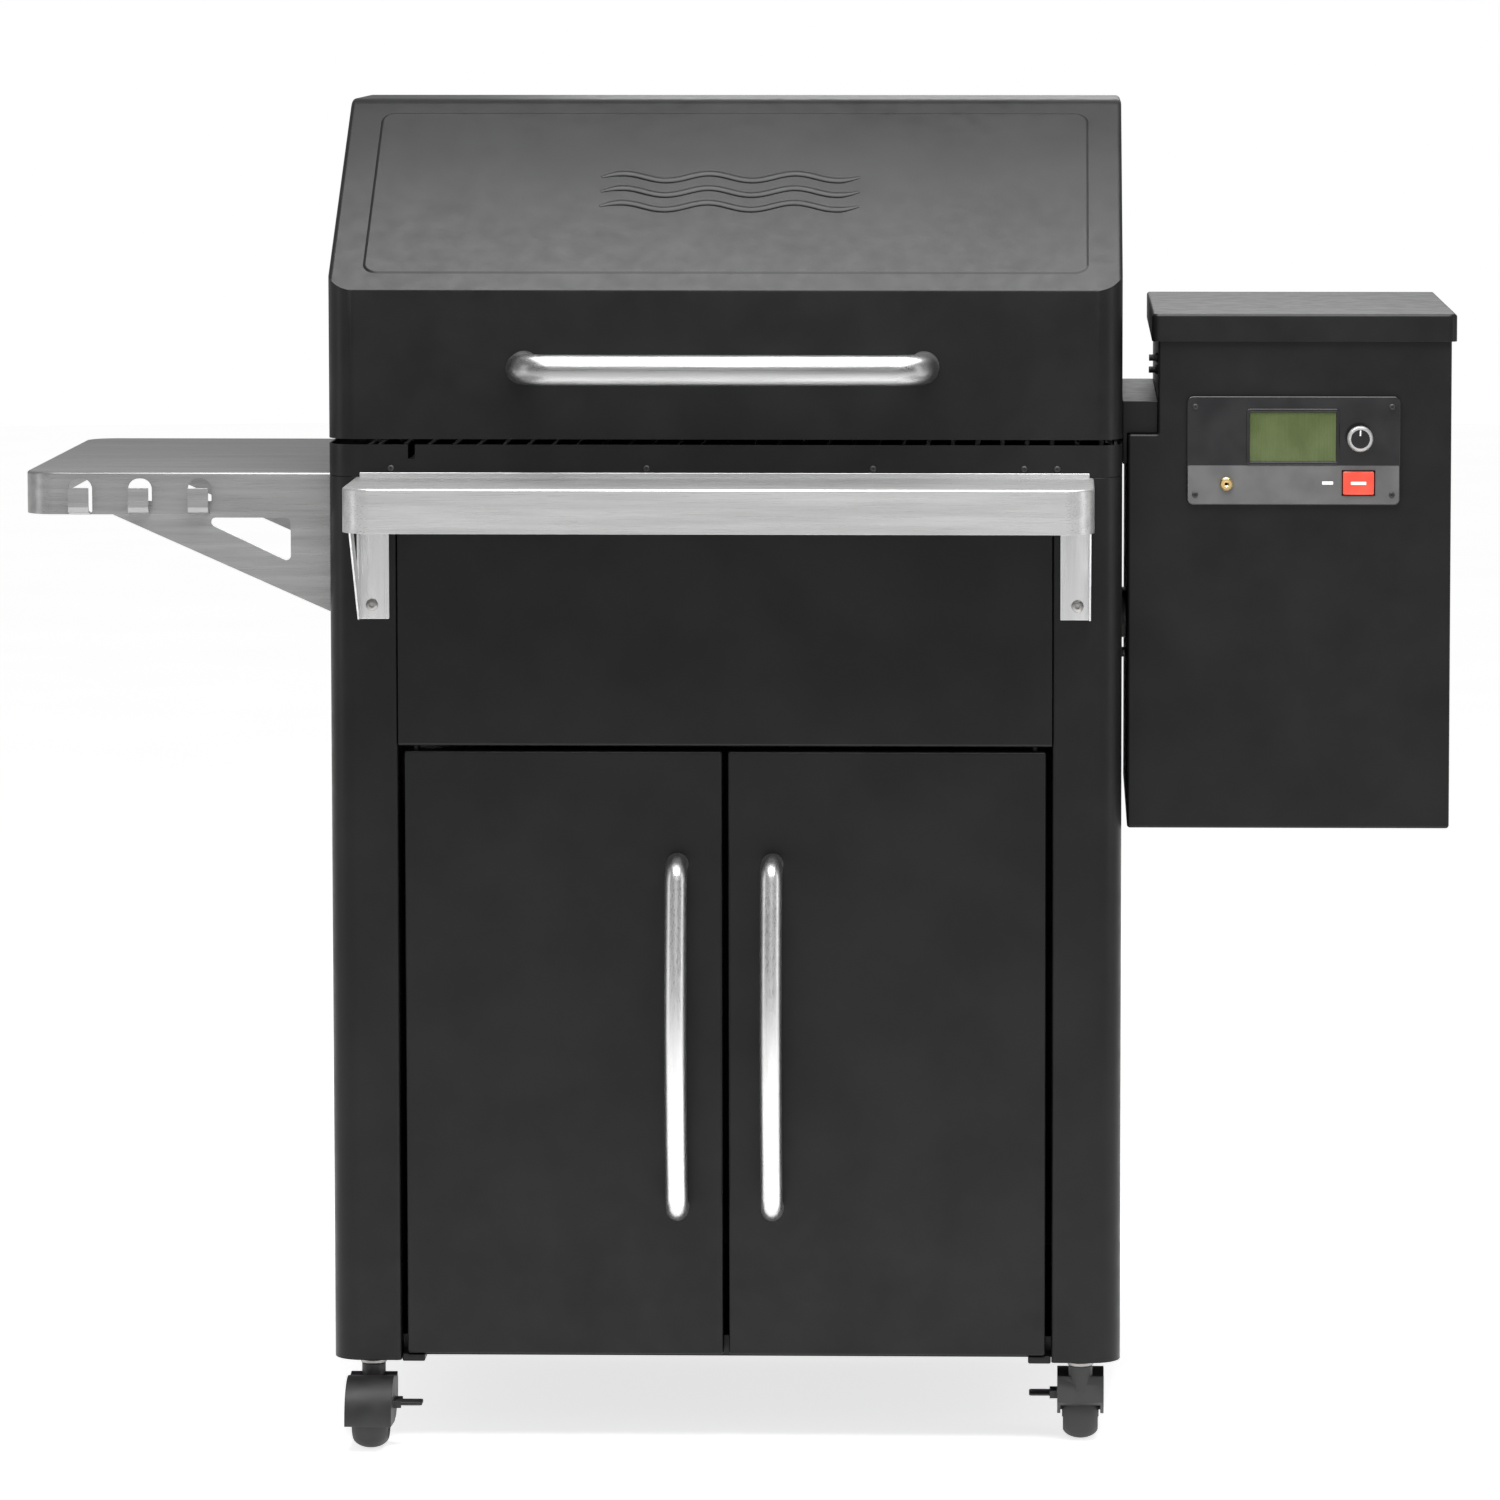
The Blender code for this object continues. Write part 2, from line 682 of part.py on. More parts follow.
def doors():
    """Two folded-edge doors on vertical pins near their outer edges."""
    for side, name in ((-1, "door_left"), (1, "door_right")):
        low_x, high_x = sorted((side * DOOR_INNER, side * DOOR_OUTER))
        bm = prism(rectangle(low_x, 0.0, high_x, DOOR_DEPTH, (0.0025, 0.0025, 0, 0), 2), "Z",
                   DOOR_BOTTOM, DOOR_TOP)
        open_towards(bm, (0, 1, 0))
        pivot = (side * DOOR_PIVOT_X, DOOR_PIVOT_Y, DOOR_BOTTOM)
        door = add_part(name, bm, "black_coat", pivot)
        make_shell(door, THIN_SHEET)
        hole = rod(
            (side * DOOR_PIVOT_X, DOOR_PIVOT_Y, DOOR_BOTTOM - 0.01),
            (side * DOOR_PIVOT_X, DOOR_PIVOT_Y, DOOR_TOP + 0.01),
            DOOR_PIN_R + 0.0005,
            12,
        )
        cut(door, add_tool(name + "_pin_holes", hole))
        door_handle(name + "_handle", side * DOOR_HANDLE_X, pivot)


def bowed_points(low, high, reach_end, reach_middle, bend, steps=9):
    """Side view (along, out) of a bowed handle whose ends turn in to the door."""
    points = [(low, 0.0)]
    for k in range(steps + 1):
        t = k / steps
        out = reach_end + (reach_middle - reach_end) * math.sin(math.pi * t)
        points.append((low + (high - low) * t, out))
    points.append((high, 0.0))
    radii = [0, bend] + [0] * (steps - 1) + [bend, 0]
    return rounded(points, radii, steps=4, closed=False)


def door_handle(name, x, pivot):
    low, high = (DOOR_HANDLE_ENDS[0] + DOOR_HANDLE_R, DOOR_HANDLE_ENDS[1] - DOOR_HANDLE_R)
    side_view = bowed_points(low, high, 0.030, 0.050, 0.016)
    points = [(x, -GAP - out, z) for z, out in side_view]
    add_part(name, tube(points, DOOR_HANDLE_R), "stainless", pivot)


# ------------------------------------------------------------ barrel and lid
def barrel_tub():
    """Open-topped cooking chamber: full-width band, then a narrower deep tub."""
    corner = (CORNER_R, CORNER_R, 0.006, 0.006)
    inner_corner = (0.015, 0.015, 0.015, 0.015)
    band = rectangle(-HALF_WIDTH, 0.0, HALF_WIDTH, DEPTH - 0.002, corner)
    wall = rectangle(-TUB_X, TUB_FRONT, TUB_X, TUB_BACK, inner_corner)
    base = rectangle(*TUB_BASE, inner_corner)
    rings = [(band, BAND_TOP), (band, BAND_BOTTOM), (wall, BAND_BOTTOM),
             (wall, TUB_WALL_END), (base, TUB_BOTTOM)]
    tub = add_part("barrel_tub", lofted(rings, close_bottom=True), "black_coat")
    make_shell(tub, THIN_SHEET)
    notch = add_tool("probe_slot", box(PROBE_SLOT_LOW, PROBE_SLOT_HIGH))
    hole = rod((DRAIN_X, POT_Y, SPOUT_BOTTOM), (DRAIN_X, POT_Y, BAFFLE_Z[1]), DRAIN_R, 12)
    drain = add_tool("drain_hole", hole)
    spout = turned([(DRAIN_R, SPOUT_TOP), (SPOUT_R, SPOUT_TOP), (SPOUT_R, SPOUT_BOTTOM),
                    (DRAIN_R, SPOUT_BOTTOM)], 12)
    spout = add_tool("drain_spout", moved(spout, (DRAIN_X, POT_Y, 0.0)))
    cut(tub, notch, drain, AUGER_PASSAGE, IGNITER_PASSAGE, AIR_PASSAGE, EXHAUST_SLOTS)
    join(tub, spout)


def inset_corners(corners, depth):
    """Corners of an open outline moved to its right-hand side by a depth."""
    points = [Vector(corner) for corner in corners]
    runs = [(after - before).normalized() for before, after in zip(points, points[1:])]
    inward = [Vector((run.y, -run.x)) for run in runs]
    result = [points[0] + inward[0] * depth]
    for corner, one, other in zip(points[1:], inward, inward[1:]):
        result.append(corner + (one + other) / (1.0 + one.dot(other)) * depth)
    result.append(points[-1] + inward[-1] * depth)
    return [tuple(point) for point in result]


def lid_section(inset):
    """Side view of the hood, moved inwards by an inset; its bottom drops by as much."""
    bottom = LID_BOTTOM - inset
    corners = [(0.0, bottom), (0.0, LID_CREASE), (LID_BREAK_Y, LID_TOP),
               (LID_BACK_BREAK_Y, LID_TOP), (LID_BACK, LID_BACK_BREAK_Z), (LID_BACK, bottom)]
    radii = [0, 0, LID_FRONT_R - inset, LID_BACK_R - inset, 0, 0]
    return rounded(inset_corners(corners, inset), radii, steps=4)


def lid_plan(inset):
    """Plan of the hood with its front corners rounded like the cabinet's."""
    corner = CORNER_R - inset
    half = HALF_WIDTH - inset
    return rectangle(-half, inset, half, LID_BACK + inset, (corner, corner, 0, 0), 5)


def lid():
    """Deep hood with an upright front and a slanted face, open underneath."""
    axis = (0.0, LID_AXIS_Y, LID_AXIS_Z)
    hood = add_part("lid", prism(lid_section(0.0), "X", -HALF_WIDTH, HALF_WIDTH), "black_coat",
                    axis)
    reach = 0.010
    plan = prism(lid_plan(0.0), "Z", LID_BOTTOM - reach, LID_TOP + reach)
    boolean(hood, add_tool("lid_plan", plan), "INTERSECT")
    inside = HALF_WIDTH - SHEET
    hollow = add_tool("lid_hollow", prism(lid_section(SHEET), "X", -inside, inside))
    plan = prism(lid_plan(SHEET), "Z", LID_BOTTOM - reach, LID_TOP + reach)
    boolean(hollow, add_tool("lid_hollow_plan", plan), "INTERSECT")
    cut(hood, hollow)
    lid_handle(axis)
    lid_hinge(axis)


def lid_handle(axis):
    """Straight tube with both ends bent in to the lid's front."""
    end = LID_HANDLE_HALF - LID_HANDLE_R
    corners = [(-end, 0.0), (-end, LID_HANDLE_OUT), (end, LID_HANDLE_OUT), (end, 0.0)]
    plan = rounded(corners, [0, 0.030, 0.030, 0], steps=6, closed=False)
    points = [(x, -GAP - out, LID_HANDLE_Z) for x, out in plan]
    add_part("lid_handle", tube(points, LID_HANDLE_R), "stainless", axis)


def add_knuckles(obj, name, spans, web_low, web_high, y, z):
    """Join hinge barrels along X, and the webs that carry them, to a piece."""
    barrels = merged(*[rod((a, y, z), (b, y, z), HINGE_KNUCKLE_R, 12) for a, b in spans])
    webs = merged(*[box((a, *web_low), (b, *web_high)) for a, b in spans])
    join(obj, add_tool(name + "_barrels", barrels), add_tool(name + "_webs", webs))


def lid_hinge(axis):
    """Fixed hinge strip on the tub's back and the leaf on the lid's back."""
    y, z = LID_AXIS_Y, LID_AXIS_Z
    half = LID_HINGE_HALF
    strip = box((-half, LID_HINGE_STRIP_Y[0], LID_HINGE_STRIP_Z[0]),
                (half, LID_HINGE_STRIP_Y[1], LID_HINGE_STRIP_Z[1]))
    fixed = add_part("lid_hinge", strip, "bare_steel")
    web_low, web_high = (LID_HINGE_STRIP_Y[0] + 0.0002, 0.926), (y, z - 0.001)
    add_knuckles(fixed, "hinge_fixed", FIXED_KNUCKLES, web_low, web_high, y, z)
    pin_end = half - 0.010
    join(fixed, add_tool("hinge_pin", rod((-pin_end, y, z), (pin_end, y, z), HINGE_PIN_R, 12)))
    leaf_plate = box((-half, LID_BACK + GAP, LID_LEAF_Z[0]),
                     (half, LID_BACK + GAP + SHEET, LID_LEAF_Z[1]))
    leaf = add_part("lid_hinge_leaf", leaf_plate, "bare_steel", axis)
    web_low, web_high = (LID_BACK + 0.0005, z + 0.0015), (y, z + 0.0065)
    add_knuckles(leaf, "hinge_leaf", LEAF_KNUCKLES, web_low, web_high, y, z)
    bores = merged(*[rod((a - 0.0002, y, z), (b + 0.0002, y, z), HINGE_BORE_R, 12)
                     for a, b in LEAF_KNUCKLES])
    cut(leaf, add_tool("hinge_bores", bores))


# --------------------------------------------------------- inside the barrel
def slots(low_u, low_v, high_u, high_v, columns, rows, bar):
    """Rectangular holes that leave bars of one width all round."""
    holes = []
    pitch_u = (high_u - low_u - bar) / columns
    pitch_v = (high_v - low_v - bar) / rows
    for i in range(columns):
        for j in range(rows):
            u = low_u + bar + i * pitch_u
            v = low_v + bar + j * pitch_v
            holes.append(rectangle(u, v, u + pitch_u - bar, v + pitch_v - bar))
    return holes


def cooking_grates():
    """Main grate on the tub's ledge and the upper rack that stands on it."""
    outline = rectangle(*GRATE_LOW[:2], *GRATE_HIGH[:2], (0.024, 0.024, 0.008, 0.008))
    holes = slots(*GRATE_HOLES, columns=24, rows=2, bar=0.008)
    add_part("grill_grate", plate(outline, holes, "Z", GRATE_LOW[2], GRATE_HIGH[2]), "enamel")
    outline = rectangle(*RACK_LOW[:2], *RACK_HIGH[:2], (0.010,) * 4, 3)
    rack = add_part("upper_rack", prism(outline, "Z", RACK_LOW[2], RACK_HIGH[2]), "bare_steel")
    holes = slots(*RACK_HOLES, columns=16, rows=1, bar=0.006)
    gaps = merged(*[prism(hole, "Z", RACK_LOW[2] - 0.006, RACK_HIGH[2] + 0.010)
                    for hole in holes])
    half, foot, top = RACK_LEG_HALF, GRATE_HIGH[2] + 0.0004, RACK_LOW[2] + 0.001
    legs = merged(*[box((x - half, y - half, foot), (x + half, y + half, top))
                    for x in (-RACK_LEG_X, RACK_LEG_X) for y in RACK_LEG_Y])
    join(rack, add_tool("rack_legs", legs))
    cut(rack, add_tool("rack_gaps", gaps))


def fire_parts():
    """Fire pot, igniter rod, heat baffle and drip tray inside the tub."""
    inside = POT_R - POT_WALL
    profile = [(0.0, POT_BOTTOM + POT_WALL), (inside, POT_BOTTOM + POT_WALL), (inside, POT_TOP),
               (POT_R, POT_TOP), (POT_R, POT_BOTTOM), (0.0, POT_BOTTOM)]
    bm = moved(turned(profile), (POT_X, POT_Y, 0.0))
    pot = add_part("fire_pot", bm, "bare_steel")
    cut(pot, AUGER_PASSAGE, IGNITER_PASSAGE)
    igniter = rod((0.042, POT_Y, IGNITER_Z), (0.385, POT_Y, IGNITER_Z), IGNITER_R, 10)
    add_part("igniter_rod", igniter, "bare_steel")
    edge, flat = BAFFLE_HALF, BAFFLE_FLAT_HALF
    foot, shoulder, top = BAFFLE_Z
    path = [(edge, foot), (edge, shoulder), (flat, top), (-flat, top), (-edge, shoulder),
            (-edge, foot)]
    baffle = add_part("heat_baffle", folded(path, "Y", *BAFFLE_Y), "bare_steel")
    make_shell(baffle, THIN_SHEET)
    cut(baffle, AUGER_PASSAGE, IGNITER_PASSAGE)
    path = [(-TRAY_HALF, TRAY_RIM), (-TRAY_HALF, TRAY_LOW_END), (TRAY_HALF, TRAY_HIGH_END),
            (TRAY_HALF, TRAY_RIM)]
    tray = add_part("drip_tray", folded(path, "Y", *TRAY_Y), "bare_steel")
    make_shell(tray, THIN_SHEET)


def grease_parts():
    """Bucket under the drain spout, on a bracket from the left side panel."""
    base_r, rim_r, wall = BUCKET_BASE_R, BUCKET_RIM_R, THIN_SHEET
    profile = [(0.0, BUCKET_BOTTOM + wall), (base_r - wall, BUCKET_BOTTOM + wall),
               (rim_r - 0.0035, BUCKET_TOP), (rim_r, BUCKET_TOP), (base_r, BUCKET_BOTTOM),
               (0.0, BUCKET_BOTTOM)]
    bucket = moved(turned(profile), (DRAIN_X, POT_Y, 0.0))
    add_part("grease_bucket", bucket, "bare_steel")
    inside = HALF_WIDTH - SHEET - GAP
    path = [(-inside, BUCKET_BRACKET_TOP), (-inside, BUCKET_BRACKET_BOTTOM),
            (BUCKET_BRACKET_END, BUCKET_BRACKET_BOTTOM)]
    bracket = folded(path, "Y", *BUCKET_BRACKET_Y)
    make_shell(add_part("grease_bucket_bracket", bracket, "black_coat"), THIN_SHEET)


# -------------------------------------------------------------------- shelves
def front_shelf():
    """Shallow stainless tray turned over, open underneath and at the back."""
    radii = (SHELF_CORNER_R, SHELF_CORNER_R, 0, 0)
    outline = rectangle(-SHELF_HALF, SHELF_FRONT, SHELF_HALF, -0.0005, radii, 6)
    bm = prism(outline, "Z", SHELF_TOP - SHELF_DROP, SHELF_TOP)
    open_towards(bm, (0, 0, -1), (0, 1, 0))
    shelf = add_part("front_shelf", bm, "stainless")
    make_shell(shelf, THIN_SHEET)


def shelf_brackets():
    """Back flange with a gusset on its outer edge that reaches to the shelf's front."""
    back, front, under = -0.0005, BRACKET_FRONT, SHELF_TOP - THIN_SHEET - GAP
    outline = [(back, BRACKET_BOTTOM), (back, under), (front, under),
               (front, under - BRACKET_NOSE), (BRACKET_TOE, BRACKET_BOTTOM)]
    window = rounded(BRACKET_WINDOW, [0.003] * 3, 2)
    for side, name in ((-1, "shelf_bracket_left"), (1, "shelf_bracket_right")):
        low_x, high_x = sorted((side * (BRACKET_OUTER - SHEET), side * BRACKET_OUTER))
        gusset = plate(outline, [window], "X", low_x, high_x)
        bracket = add_part(name, gusset, "stainless")
        low_x, high_x = sorted((side * BRACKET_INNER, side * (BRACKET_OUTER - SHEET / 2)))
        flange = box((low_x, back - SHEET, BRACKET_BOTTOM + 0.0001),
                     (high_x, back - 0.0001, FLANGE_TOP))
        join(bracket, add_tool(name + "_flange", flange))


def side_shelf():
    """Stainless side shelf whose front apron carries three punched hooks and a gusset."""
    radii = (0.028, 0, 0, 0.028)
    outline = rectangle(SIDE_SHELF_END, SIDE_SHELF_FRONT, SIDE_SHELF_INNER, SIDE_SHELF_BACK, radii)
    bm = prism(outline, "Z", SHELF_TOP - SIDE_SHELF_DROP, SHELF_TOP)
    open_towards(bm, (0, 0, -1), (1, 0, 0))
    shelf = add_part("side_shelf", bm, "stainless")
    make_shell(shelf, THIN_SHEET)
    window = rounded(SIDE_WINDOW, [0.004] * 3, 2)
    inset = 0.0001
    for name, y in (("front", SIDE_SHELF_FRONT + inset), ("rear", SIDE_SHELF_BACK - SHEET / 2)):
        depth = THIN_SHEET - 2 * inset
        sheet = plate(SIDE_GUSSET, [window], "Y", y, y + depth)
        join(shelf, add_tool(name + "_gusset", sheet))
    half, (low, high) = HOOK_HOLE_HALF, HOOK_HOLE_Z
    holes = [rectangle(x - half, low, x + half, high, (0.002, 0.002, 0.010, 0.010), 3)
             for x in HOOK_X]
    front = SIDE_SHELF_FRONT
    cut(shelf, add_tool("hook_holes", merged(*[prism(h, "Y", front - 0.01, front + 0.01)
                                               for h in holes])))
    side_view = [(front + 0.0010, 0.8570), (front - 0.0130, 0.8600), (front - 0.0150, 0.8650),
                 (front - 0.0150, 0.8830), (front - 0.0130, 0.8830), (front - 0.0130, 0.8660),
                 (front - 0.0115, 0.8620), (front + 0.0010, 0.8595)]
    half = HOOK_TONGUE_HALF
    tongues = [prism(side_view, "X", x - half, x + half) for x in HOOK_X]
    join(shelf, add_tool("hook_tongues", merged(*tongues)))


# --------------------------------------------------------------------- hopper
def hopper_box():
    """Stepped box beside the cabinet, open at the top."""
    corners = [
        (HOPPER_LEFT_LOW, HOPPER_BOTTOM),
        (HOPPER_RIGHT, HOPPER_BOTTOM),
        (HOPPER_RIGHT, HOPPER_TOP),
        (HOPPER_LEFT_HIGH, HOPPER_TOP),
        (HOPPER_LEFT_HIGH, HOPPER_STEP),
        (HOPPER_LEFT_LOW, HOPPER_STEP),
    ]
    bm = prism(rounded(corners, [0.003, 0.003, 0, 0, 0, 0.003], 2), "Y", HOPPER_FRONT, HOPPER_BACK)
    open_towards(bm, (0, 0, 1))
    restore_step(bm)
    hopper = add_part("hopper_box", bm, "black_coat")
    make_shell(hopper, THIN_SHEET)
    window = wall_window(CASE_LOW, CASE_HIGH, HOPPER_FRONT)
    inlet = wall_window(INLET_LOW, INLET_HIGH, HOPPER_BACK)
    cut(hopper, add_tool("controller_window", window), add_tool("inlet_window", inlet))
    cut(hopper, AUGER_PASSAGE, IGNITER_PASSAGE, AIR_PASSAGE)
    y, z = HOPPER_AXIS_Y, HOPPER_AXIS_Z
    web_low, web_high = (HOPPER_BACK - 0.001, z - 0.0038), (y, z + 0.0030)
    add_knuckles(hopper, "hopper_hinge", BOX_KNUCKLES, web_low, web_high, y, z)
    pin = rod((HOPPER_PIN_X[0], y, z), (HOPPER_PIN_X[1], y, z), HINGE_PIN_R, 12)
    join(hopper, add_tool("hopper_hinge_pin", pin))


def wall_window(low, high, wall_y):
    """Cutter that lets a box through an upright wall with a clearance all round."""
    return box((low[0] - GAP, wall_y - 0.010, low[2] - GAP),
               (high[0] + GAP, wall_y + 0.010, high[2] + GAP))


def restore_step(bm):
    """Close the step again, which looks up like the open top does."""
    edges = [e for e in bm.edges if e.is_boundary and all(abs(v.co.z - HOPPER_STEP) < 0.004
                                                          for v in e.verts)]
    bmesh.ops.contextual_create(bm, geom=edges)


def hopper_lid():
    """Flat lid with a skirt on three sides, hinged at the back."""
    low, high = HOPPER_LID_LOW, HOPPER_LID_HIGH
    outline = rectangle(low[0], low[1], high[0], high[1], (0.008, 0.008, 0, 0), 3)
    bm = prism(outline, "Z", low[2], high[2])
    open_towards(bm, (0, 0, -1), (0, 1, 0))
    axis = (0.0, HOPPER_AXIS_Y, HOPPER_AXIS_Z)
    cover = add_part("hopper_lid", bm, "black_coat", axis)
    make_shell(cover, THIN_SHEET)
    y, z = HOPPER_AXIS_Y, HOPPER_AXIS_Z
    web_low, web_high = (high[1] - 0.0020, z + 0.0020), (y + 0.0025, high[2] - 0.0005)
    add_knuckles(cover, "lid_knuckles", COVER_KNUCKLES, web_low, web_high, y, z)
    bores = merged(*[rod((a - 0.0002, y, z), (b + 0.0002, y, z), HINGE_BORE_R, 12)
                     for a, b in COVER_KNUCKLES])
    cut(cover, add_tool("lid_knuckle_bores", bores))


def hopper_inside():
    """Funnel for the pellets and the guard grid across it."""
    plans = (BIN_MOUTH, BIN_MOUTH, BIN_SHOULDER, BIN_WAIST, BIN_SPOUT)
    rings = [(rectangle(*plan), z) for plan, z in zip(plans, BIN_Z)]
    funnel = add_part("hopper_bin", lofted(rings, close_bottom=False), "bare_steel")
    make_shell(funnel, THIN_SHEET)
    holes = slots(*GUARD_EDGE, columns=5, rows=1, bar=0.004)
    guard = plate(rectangle(*GUARD_EDGE), holes, "Z", *GUARD_Z)
    add_part("hopper_guard", guard, "bare_steel")


def hopper_connector():
    """Block that carries the hopper on the cabinet's side."""
    left = HALF_WIDTH + 0.0005
    outline = [
        (left, CONNECTOR_Z[0]),
        (HOPPER_LEFT_LOW - GAP, CONNECTOR_Z[0]),
        (HOPPER_LEFT_LOW - GAP, HOPPER_STEP + GAP),
        (HOPPER_LEFT_HIGH - GAP, HOPPER_STEP + GAP),
        (HOPPER_LEFT_HIGH - GAP, CONNECTOR_Z[1]),
        (left, CONNECTOR_Z[1]),
    ]
    add_part("hopper_connector", prism(outline, "Y", *CONNECTOR_Y), "black_coat")


def auger_parts():
    """Feed tube, twisted feed screw inside it and the gear motor at its right end."""
    y, z = POT_Y, AUGER_Z
    start, end = AUGER_TUBE_X
    tube_body = rod((start, y, z), (end, y, z), AUGER_TUBE_R, 20)
    feed_tube = add_part("auger_tube", tube_body, "bare_steel")
    bore = rod((start - 0.01, y, z), (end + 0.01, y, z), AUGER_BORE_R, 20)
    mouth = box((MOUTH_X[0], y - MOUTH_HALF, z + 0.005), (MOUTH_X[1], y + MOUTH_HALF, z + 0.030))
    cut(feed_tube, add_tool("auger_bore", bore), add_tool("auger_mouth", mouth))
    screw = twisted_bar(*AUGER_SCREW_X, AUGER_SCREW_R, AUGER_BLADE_HALF, AUGER_TURNS, 9)
    add_part("auger_screw", screw, "bare_steel", (AUGER_SCREW_X[0], y, z))
    half = MOTOR_HALF
    block = box((MOTOR_X[0], y - half, z - half), (MOTOR_X[1], y + half, z + MOTOR_RISE))
    motor = add_part("auger_motor", block, "bare_steel")
    soften(motor, 0.003, 2)
    can = rod((MOTOR_CAN_X, y, z + MOTOR_RISE - 0.001), (MOTOR_CAN_X, y, z - MOTOR_CAN_DROP),
              MOTOR_CAN_R, 16)
    join(motor, add_tool("motor_can", can))


def twisted_bar(start, end, half_width, half_thickness, turns, stations_per_turn):
    """Flat bar twisted about X: a two-start feed screw."""
    section = [(half_width * math.cos(a), half_thickness * math.sin(a))
               for a in (2 * math.pi * k / 8 for k in range(8))]
    stations = turns * stations_per_turn
    bm = bmesh.new()
    loops = []
    for i in range(stations + 1):
        x = start + (end - start) * i / stations
        twist = 2 * math.pi * turns * i / stations
        loops.append([bm.verts.new((x, POT_Y + u * math.cos(twist) - v * math.sin(twist),
                                    AUGER_Z + u * math.sin(twist) + v * math.cos(twist)))
                      for u, v in section])
    for near, far in zip(loops, loops[1:]):
        for k in range(8):
            bm.faces.new((near[k], near[(k + 1) % 8], far[(k + 1) % 8], far[k]))
    bm.faces.new(loops[0])
    bm.faces.new(loops[-1])
    bmesh.ops.recalc_face_normals(bm, faces=bm.faces)
    return bm


def fan_parts():
    """Square fan frame against the hopper's left wall and its bladed rotor."""
    inner = HOPPER_LEFT_LOW + THIN_SHEET + GAP
    y, z, half = FAN_Y, FAN_Z, FAN_HALF
    block = box((inner, y - half, z - half), (inner + FAN_DEPTH, y + half, z + half))
    frame = add_part("fan_housing", block, "black_plastic")
    tunnel = rod((inner - 0.01, y, z), (inner + 0.05, y, z), FAN_R, 24)
    cut(frame, add_tool("fan_tunnel", tunnel))
    reach = FAN_R + 0.002
    spoke = box((inner + 0.026, y - reach, z - 0.003), (inner + 0.029, y + reach, z + 0.003))
    join(frame, add_tool("fan_spoke", spoke))
    start, end = inner + 0.003, inner + 0.024
    hub = rod((start, y, z), (end, y, z), FAN_HUB_R, 16)
    rotor = add_part("fan_impeller", hub, "black_plastic", (start, y, z))
    for k in range(FAN_BLADES):
        blade = box((-0.0075, FAN_HUB_R - 0.004, -0.001), (0.0075, FAN_R - 0.003, 0.001))
        pitch = Matrix.Rotation(math.radians(30), 4, "Y")
        place = Matrix.Rotation(2 * math.pi * k / FAN_BLADES, 4, "X") @ pitch
        blade = moved(blade, ((start + end) / 2, y, z), place)
        join(rotor, add_tool("fan_blade_%d" % k, blade))


# ----------------------------------------------------------------- controller
def controller():
    """Bezel plate with an electronics case behind it, and what is set into it."""
    panel = add_part("controller_panel", box(PANEL_LOW, PANEL_HIGH), "gloss_plastic")
    join(panel, add_tool("controller_case", box(CASE_LOW, CASE_HIGH)))
    window = box(DISPLAY_LOW, (DISPLAY_HIGH[0], 0.0475, DISPLAY_HIGH[2]))
    stem_hole = rod((KNOB_X, 0.040, KNOB_Z), (KNOB_X, 0.072, KNOB_Z), STEM_R + 0.0005, 16)
    clear = 0.0005
    button_hole = box((BUTTON_LOW[0] - clear, 0.040, BUTTON_LOW[2] - clear),
                      (BUTTON_HIGH[0] + clear, 0.0560, BUTTON_HIGH[2] + clear))
    jack_hole = rod((JACK_X, 0.040, JACK_Z), (JACK_X, 0.062, JACK_Z), 0.0040, 16)
    cut(panel, add_tool("display_window", window), add_tool("stem_hole", stem_hole),
        add_tool("button_hole", button_hole), add_tool("jack_hole", jack_hole))
    inset = GAP
    lens = box((DISPLAY_LOW[0] + inset, 0.0450, DISPLAY_LOW[2] + inset),
               (DISPLAY_HIGH[0] - inset, 0.0472, DISPLAY_HIGH[2] - inset))
    add_part("display_lens", lens, "display_glass")
    face, back = JACK_Y
    nut = rod((JACK_X, face, JACK_Z), (JACK_X, back, JACK_Z), JACK_R, 20)
    jack = add_part("probe_jack", nut, "brass")
    stub = rod((JACK_X, back - 0.0004, JACK_Z), (JACK_X, JACK_STUB_END, JACK_Z), JACK_STUB_R, 12)
    join(jack, add_tool("jack_stub", stub))
    socket = rod((JACK_X, face - 0.0005, JACK_Z), (JACK_X, JACK_SOCKET_END, JACK_Z),
                 JACK_SOCKET_R, 10)
    cut(jack, add_tool("jack_socket", socket))
    red = add_part("ignite_button", box(BUTTON_LOW, BUTTON_HIGH), "red_plastic", BUTTON_LOW)
    soften(red, 0.0008, 2)


def knob_parts():
    """Stem that can be pressed and the knob that turns on it."""
    origin = (KNOB_X, 0.0450, KNOB_Z)
    stem = rod((KNOB_X, 0.0280, KNOB_Z), (KNOB_X, 0.0620, KNOB_Z), STEM_R, 16)
    add_part("knob_stem", stem, "black_plastic", origin)
    cap = [(0.0, 0.0220), (0.0108, 0.0220), (0.0118, 0.0205), (KNOB_R, 0.0030), (KNOB_R, 0.0),
           (STEM_R + GAP, 0.0), (STEM_R + GAP, 0.0160), (0.0, 0.0160)]
    turn = Matrix.Rotation(math.radians(90), 4, "X")
    add_part("knob", moved(turned(cap), (KNOB_X, 0.0432, KNOB_Z), turn), "gloss_plastic", origin)


def power_inlet():
    """Socket for a cord in the hopper's back wall."""
    inlet = add_part("power_inlet", box(INLET_LOW, INLET_HIGH), "black_plastic")
    cut(inlet, add_tool("inlet_well", box(INLET_WELL_LOW, INLET_WELL_HIGH)))


def rear_vent():
    """Hood over the exhaust slots, open underneath and towards the cabinet."""
    bm = box(VENT_LOW, VENT_HIGH)
    open_towards(bm, (0, -1, 0), (0, 0, -1))
    vent = add_part("rear_vent", bm, "black_coat")
    make_shell(vent, THIN_SHEET)


